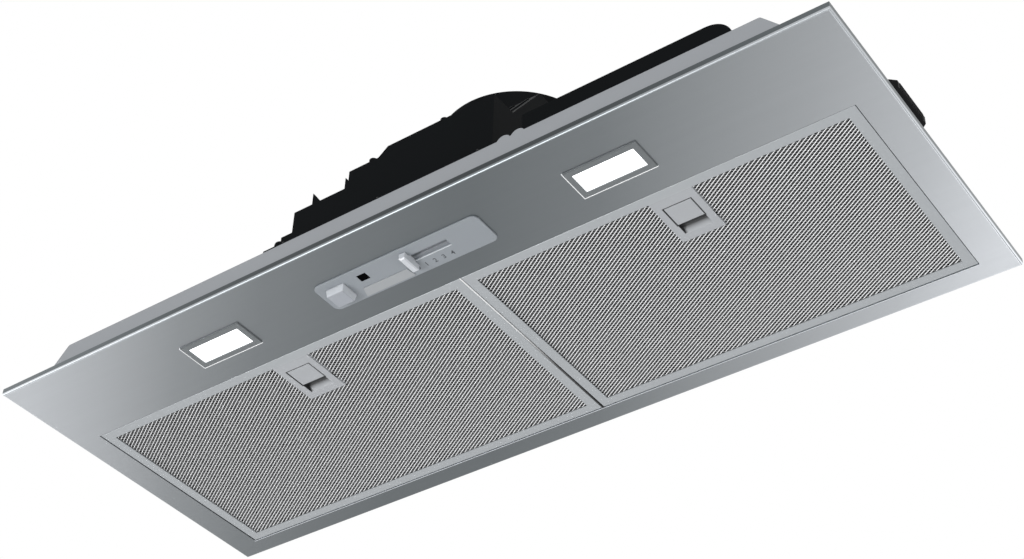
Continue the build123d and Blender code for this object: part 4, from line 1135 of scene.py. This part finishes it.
def makeLouvres():
    low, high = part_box("electronics_lid")
    half, reach = louvres["width"] / 2, louvres["length"] / 2
    middle, top = (low.y + high.y) / 2, high.z
    foot, crest = top - louvres["sunk"], top + louvres["proud"]
    outline = [(-half, foot), (-half, top), (louvres["width"] * louvres["lean"], crest), (half, crest),
               (half, foot)]

    def louvre(bm):
        near, far = [[bm.verts.new((x, y, z)) for x, z in outline]
                     for y in (middle - reach, middle + reach)]
        addWall(bm, near, far)
        bm.faces.new(tuple(near))
        bm.faces.new(tuple(reversed(far)))

    row("lidLouvres", louvre, louvres, low.x)


# stiffening ribs on the outlet's flaps
flapRibs = {"near": 14.0 * mm, "width": 1.2 * mm, "top": 144.7 * mm, "proud": 0.7 * mm, "sunk": 0.3 * mm,
            "bevel": 0.2 * mm,
            # place across the flap and far end of each rib
            "ribs": ((-30.0 * mm, 47.0 * mm), (0.0, 53.0 * mm), (30.0 * mm, 47.0 * mm))}


def makeFlapRibs():
    half, top = flapRibs["width"] / 2, flapRibs["top"]
    for name, side in (("front", -1), ("back", 1)):
        low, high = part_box("damper_flap_" + name)
        bm = bmesh.new()
        for shift, far in flapRibs["ribs"]:
            x = (low.x + high.x) / 2 + shift
            start, end = sorted((side * flapRibs["near"], side * far))
            addBar(bm, (x - half, start, top - flapRibs["sunk"]), (x + half, end, top + flapRibs["proud"]),
                   flapRibs["bevel"])
        settle(fromBmesh("flapRibs_" + name, bm, "black"), "flap_" + name, "black_plastic")


# grip ribs round the cable gland
glandRibs = {"count": 16, "width": 1.2 * mm, "fromEnd": (11.0 * mm, 2.0 * mm), "proud": 0.35 * mm,
             "sunk": 0.3 * mm, "bevel": 0.15 * mm}


def makeGlandRibs():
    low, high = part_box("cable_gland")
    half, radius = glandRibs["width"] / 2, (high.z - low.z) / 2
    far, near = glandRibs["fromEnd"]
    centre = Vector(((low.x + high.x) / 2, 0.0, (low.z + high.z) / 2))

    def gripRib(bm):
        addBar(bm, (-half, high.y - far, radius - glandRibs["sunk"]),
               (half, high.y - near, radius + glandRibs["proud"]), glandRibs["bevel"])

    piece = repeat("glandRibs", "black", gripRib, Count=glandRibs["count"],
                   Turn=(0.0, 2 * math.pi / glandRibs["count"], 0.0), place=Matrix.Translation(centre))
    settle(piece, "housing", "black_plastic")


# grip ribs on the side clips
clipRibs = {"rows": 3, "first": 26.0 * mm, "step": 2.0 * mm, "height": 0.9 * mm, "margin": 3.0 * mm,
            "proud": 0.35 * mm, "sunk": 0.3 * mm, "bevel": 0.15 * mm}


def makeClipRibs():
    for name, side in sides.items():
        low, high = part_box("side_clip_" + name)
        outer = high.x if side > 0 else low.x
        start, end = sorted((outer - side * clipRibs["sunk"], outer + side * clipRibs["proud"]))
        bm = bmesh.new()
        for k in range(clipRibs["rows"]):
            z = clipRibs["first"] + k * clipRibs["step"]
            addBar(bm, (start, low.y + clipRibs["margin"], z),
                   (end, high.y - clipRibs["margin"], z + clipRibs["height"]), clipRibs["bevel"])
        settle(fromBmesh("clipRibs_" + name, bm, "clip"), "clip_" + name, "black_plastic")


makeCoverRibs()
makeCoverSnaps()
makeBeads()
makeLouvres()
makeFlapRibs()
makeGlandRibs()
makeClipRibs()
print("ribs, beads and louvres made")
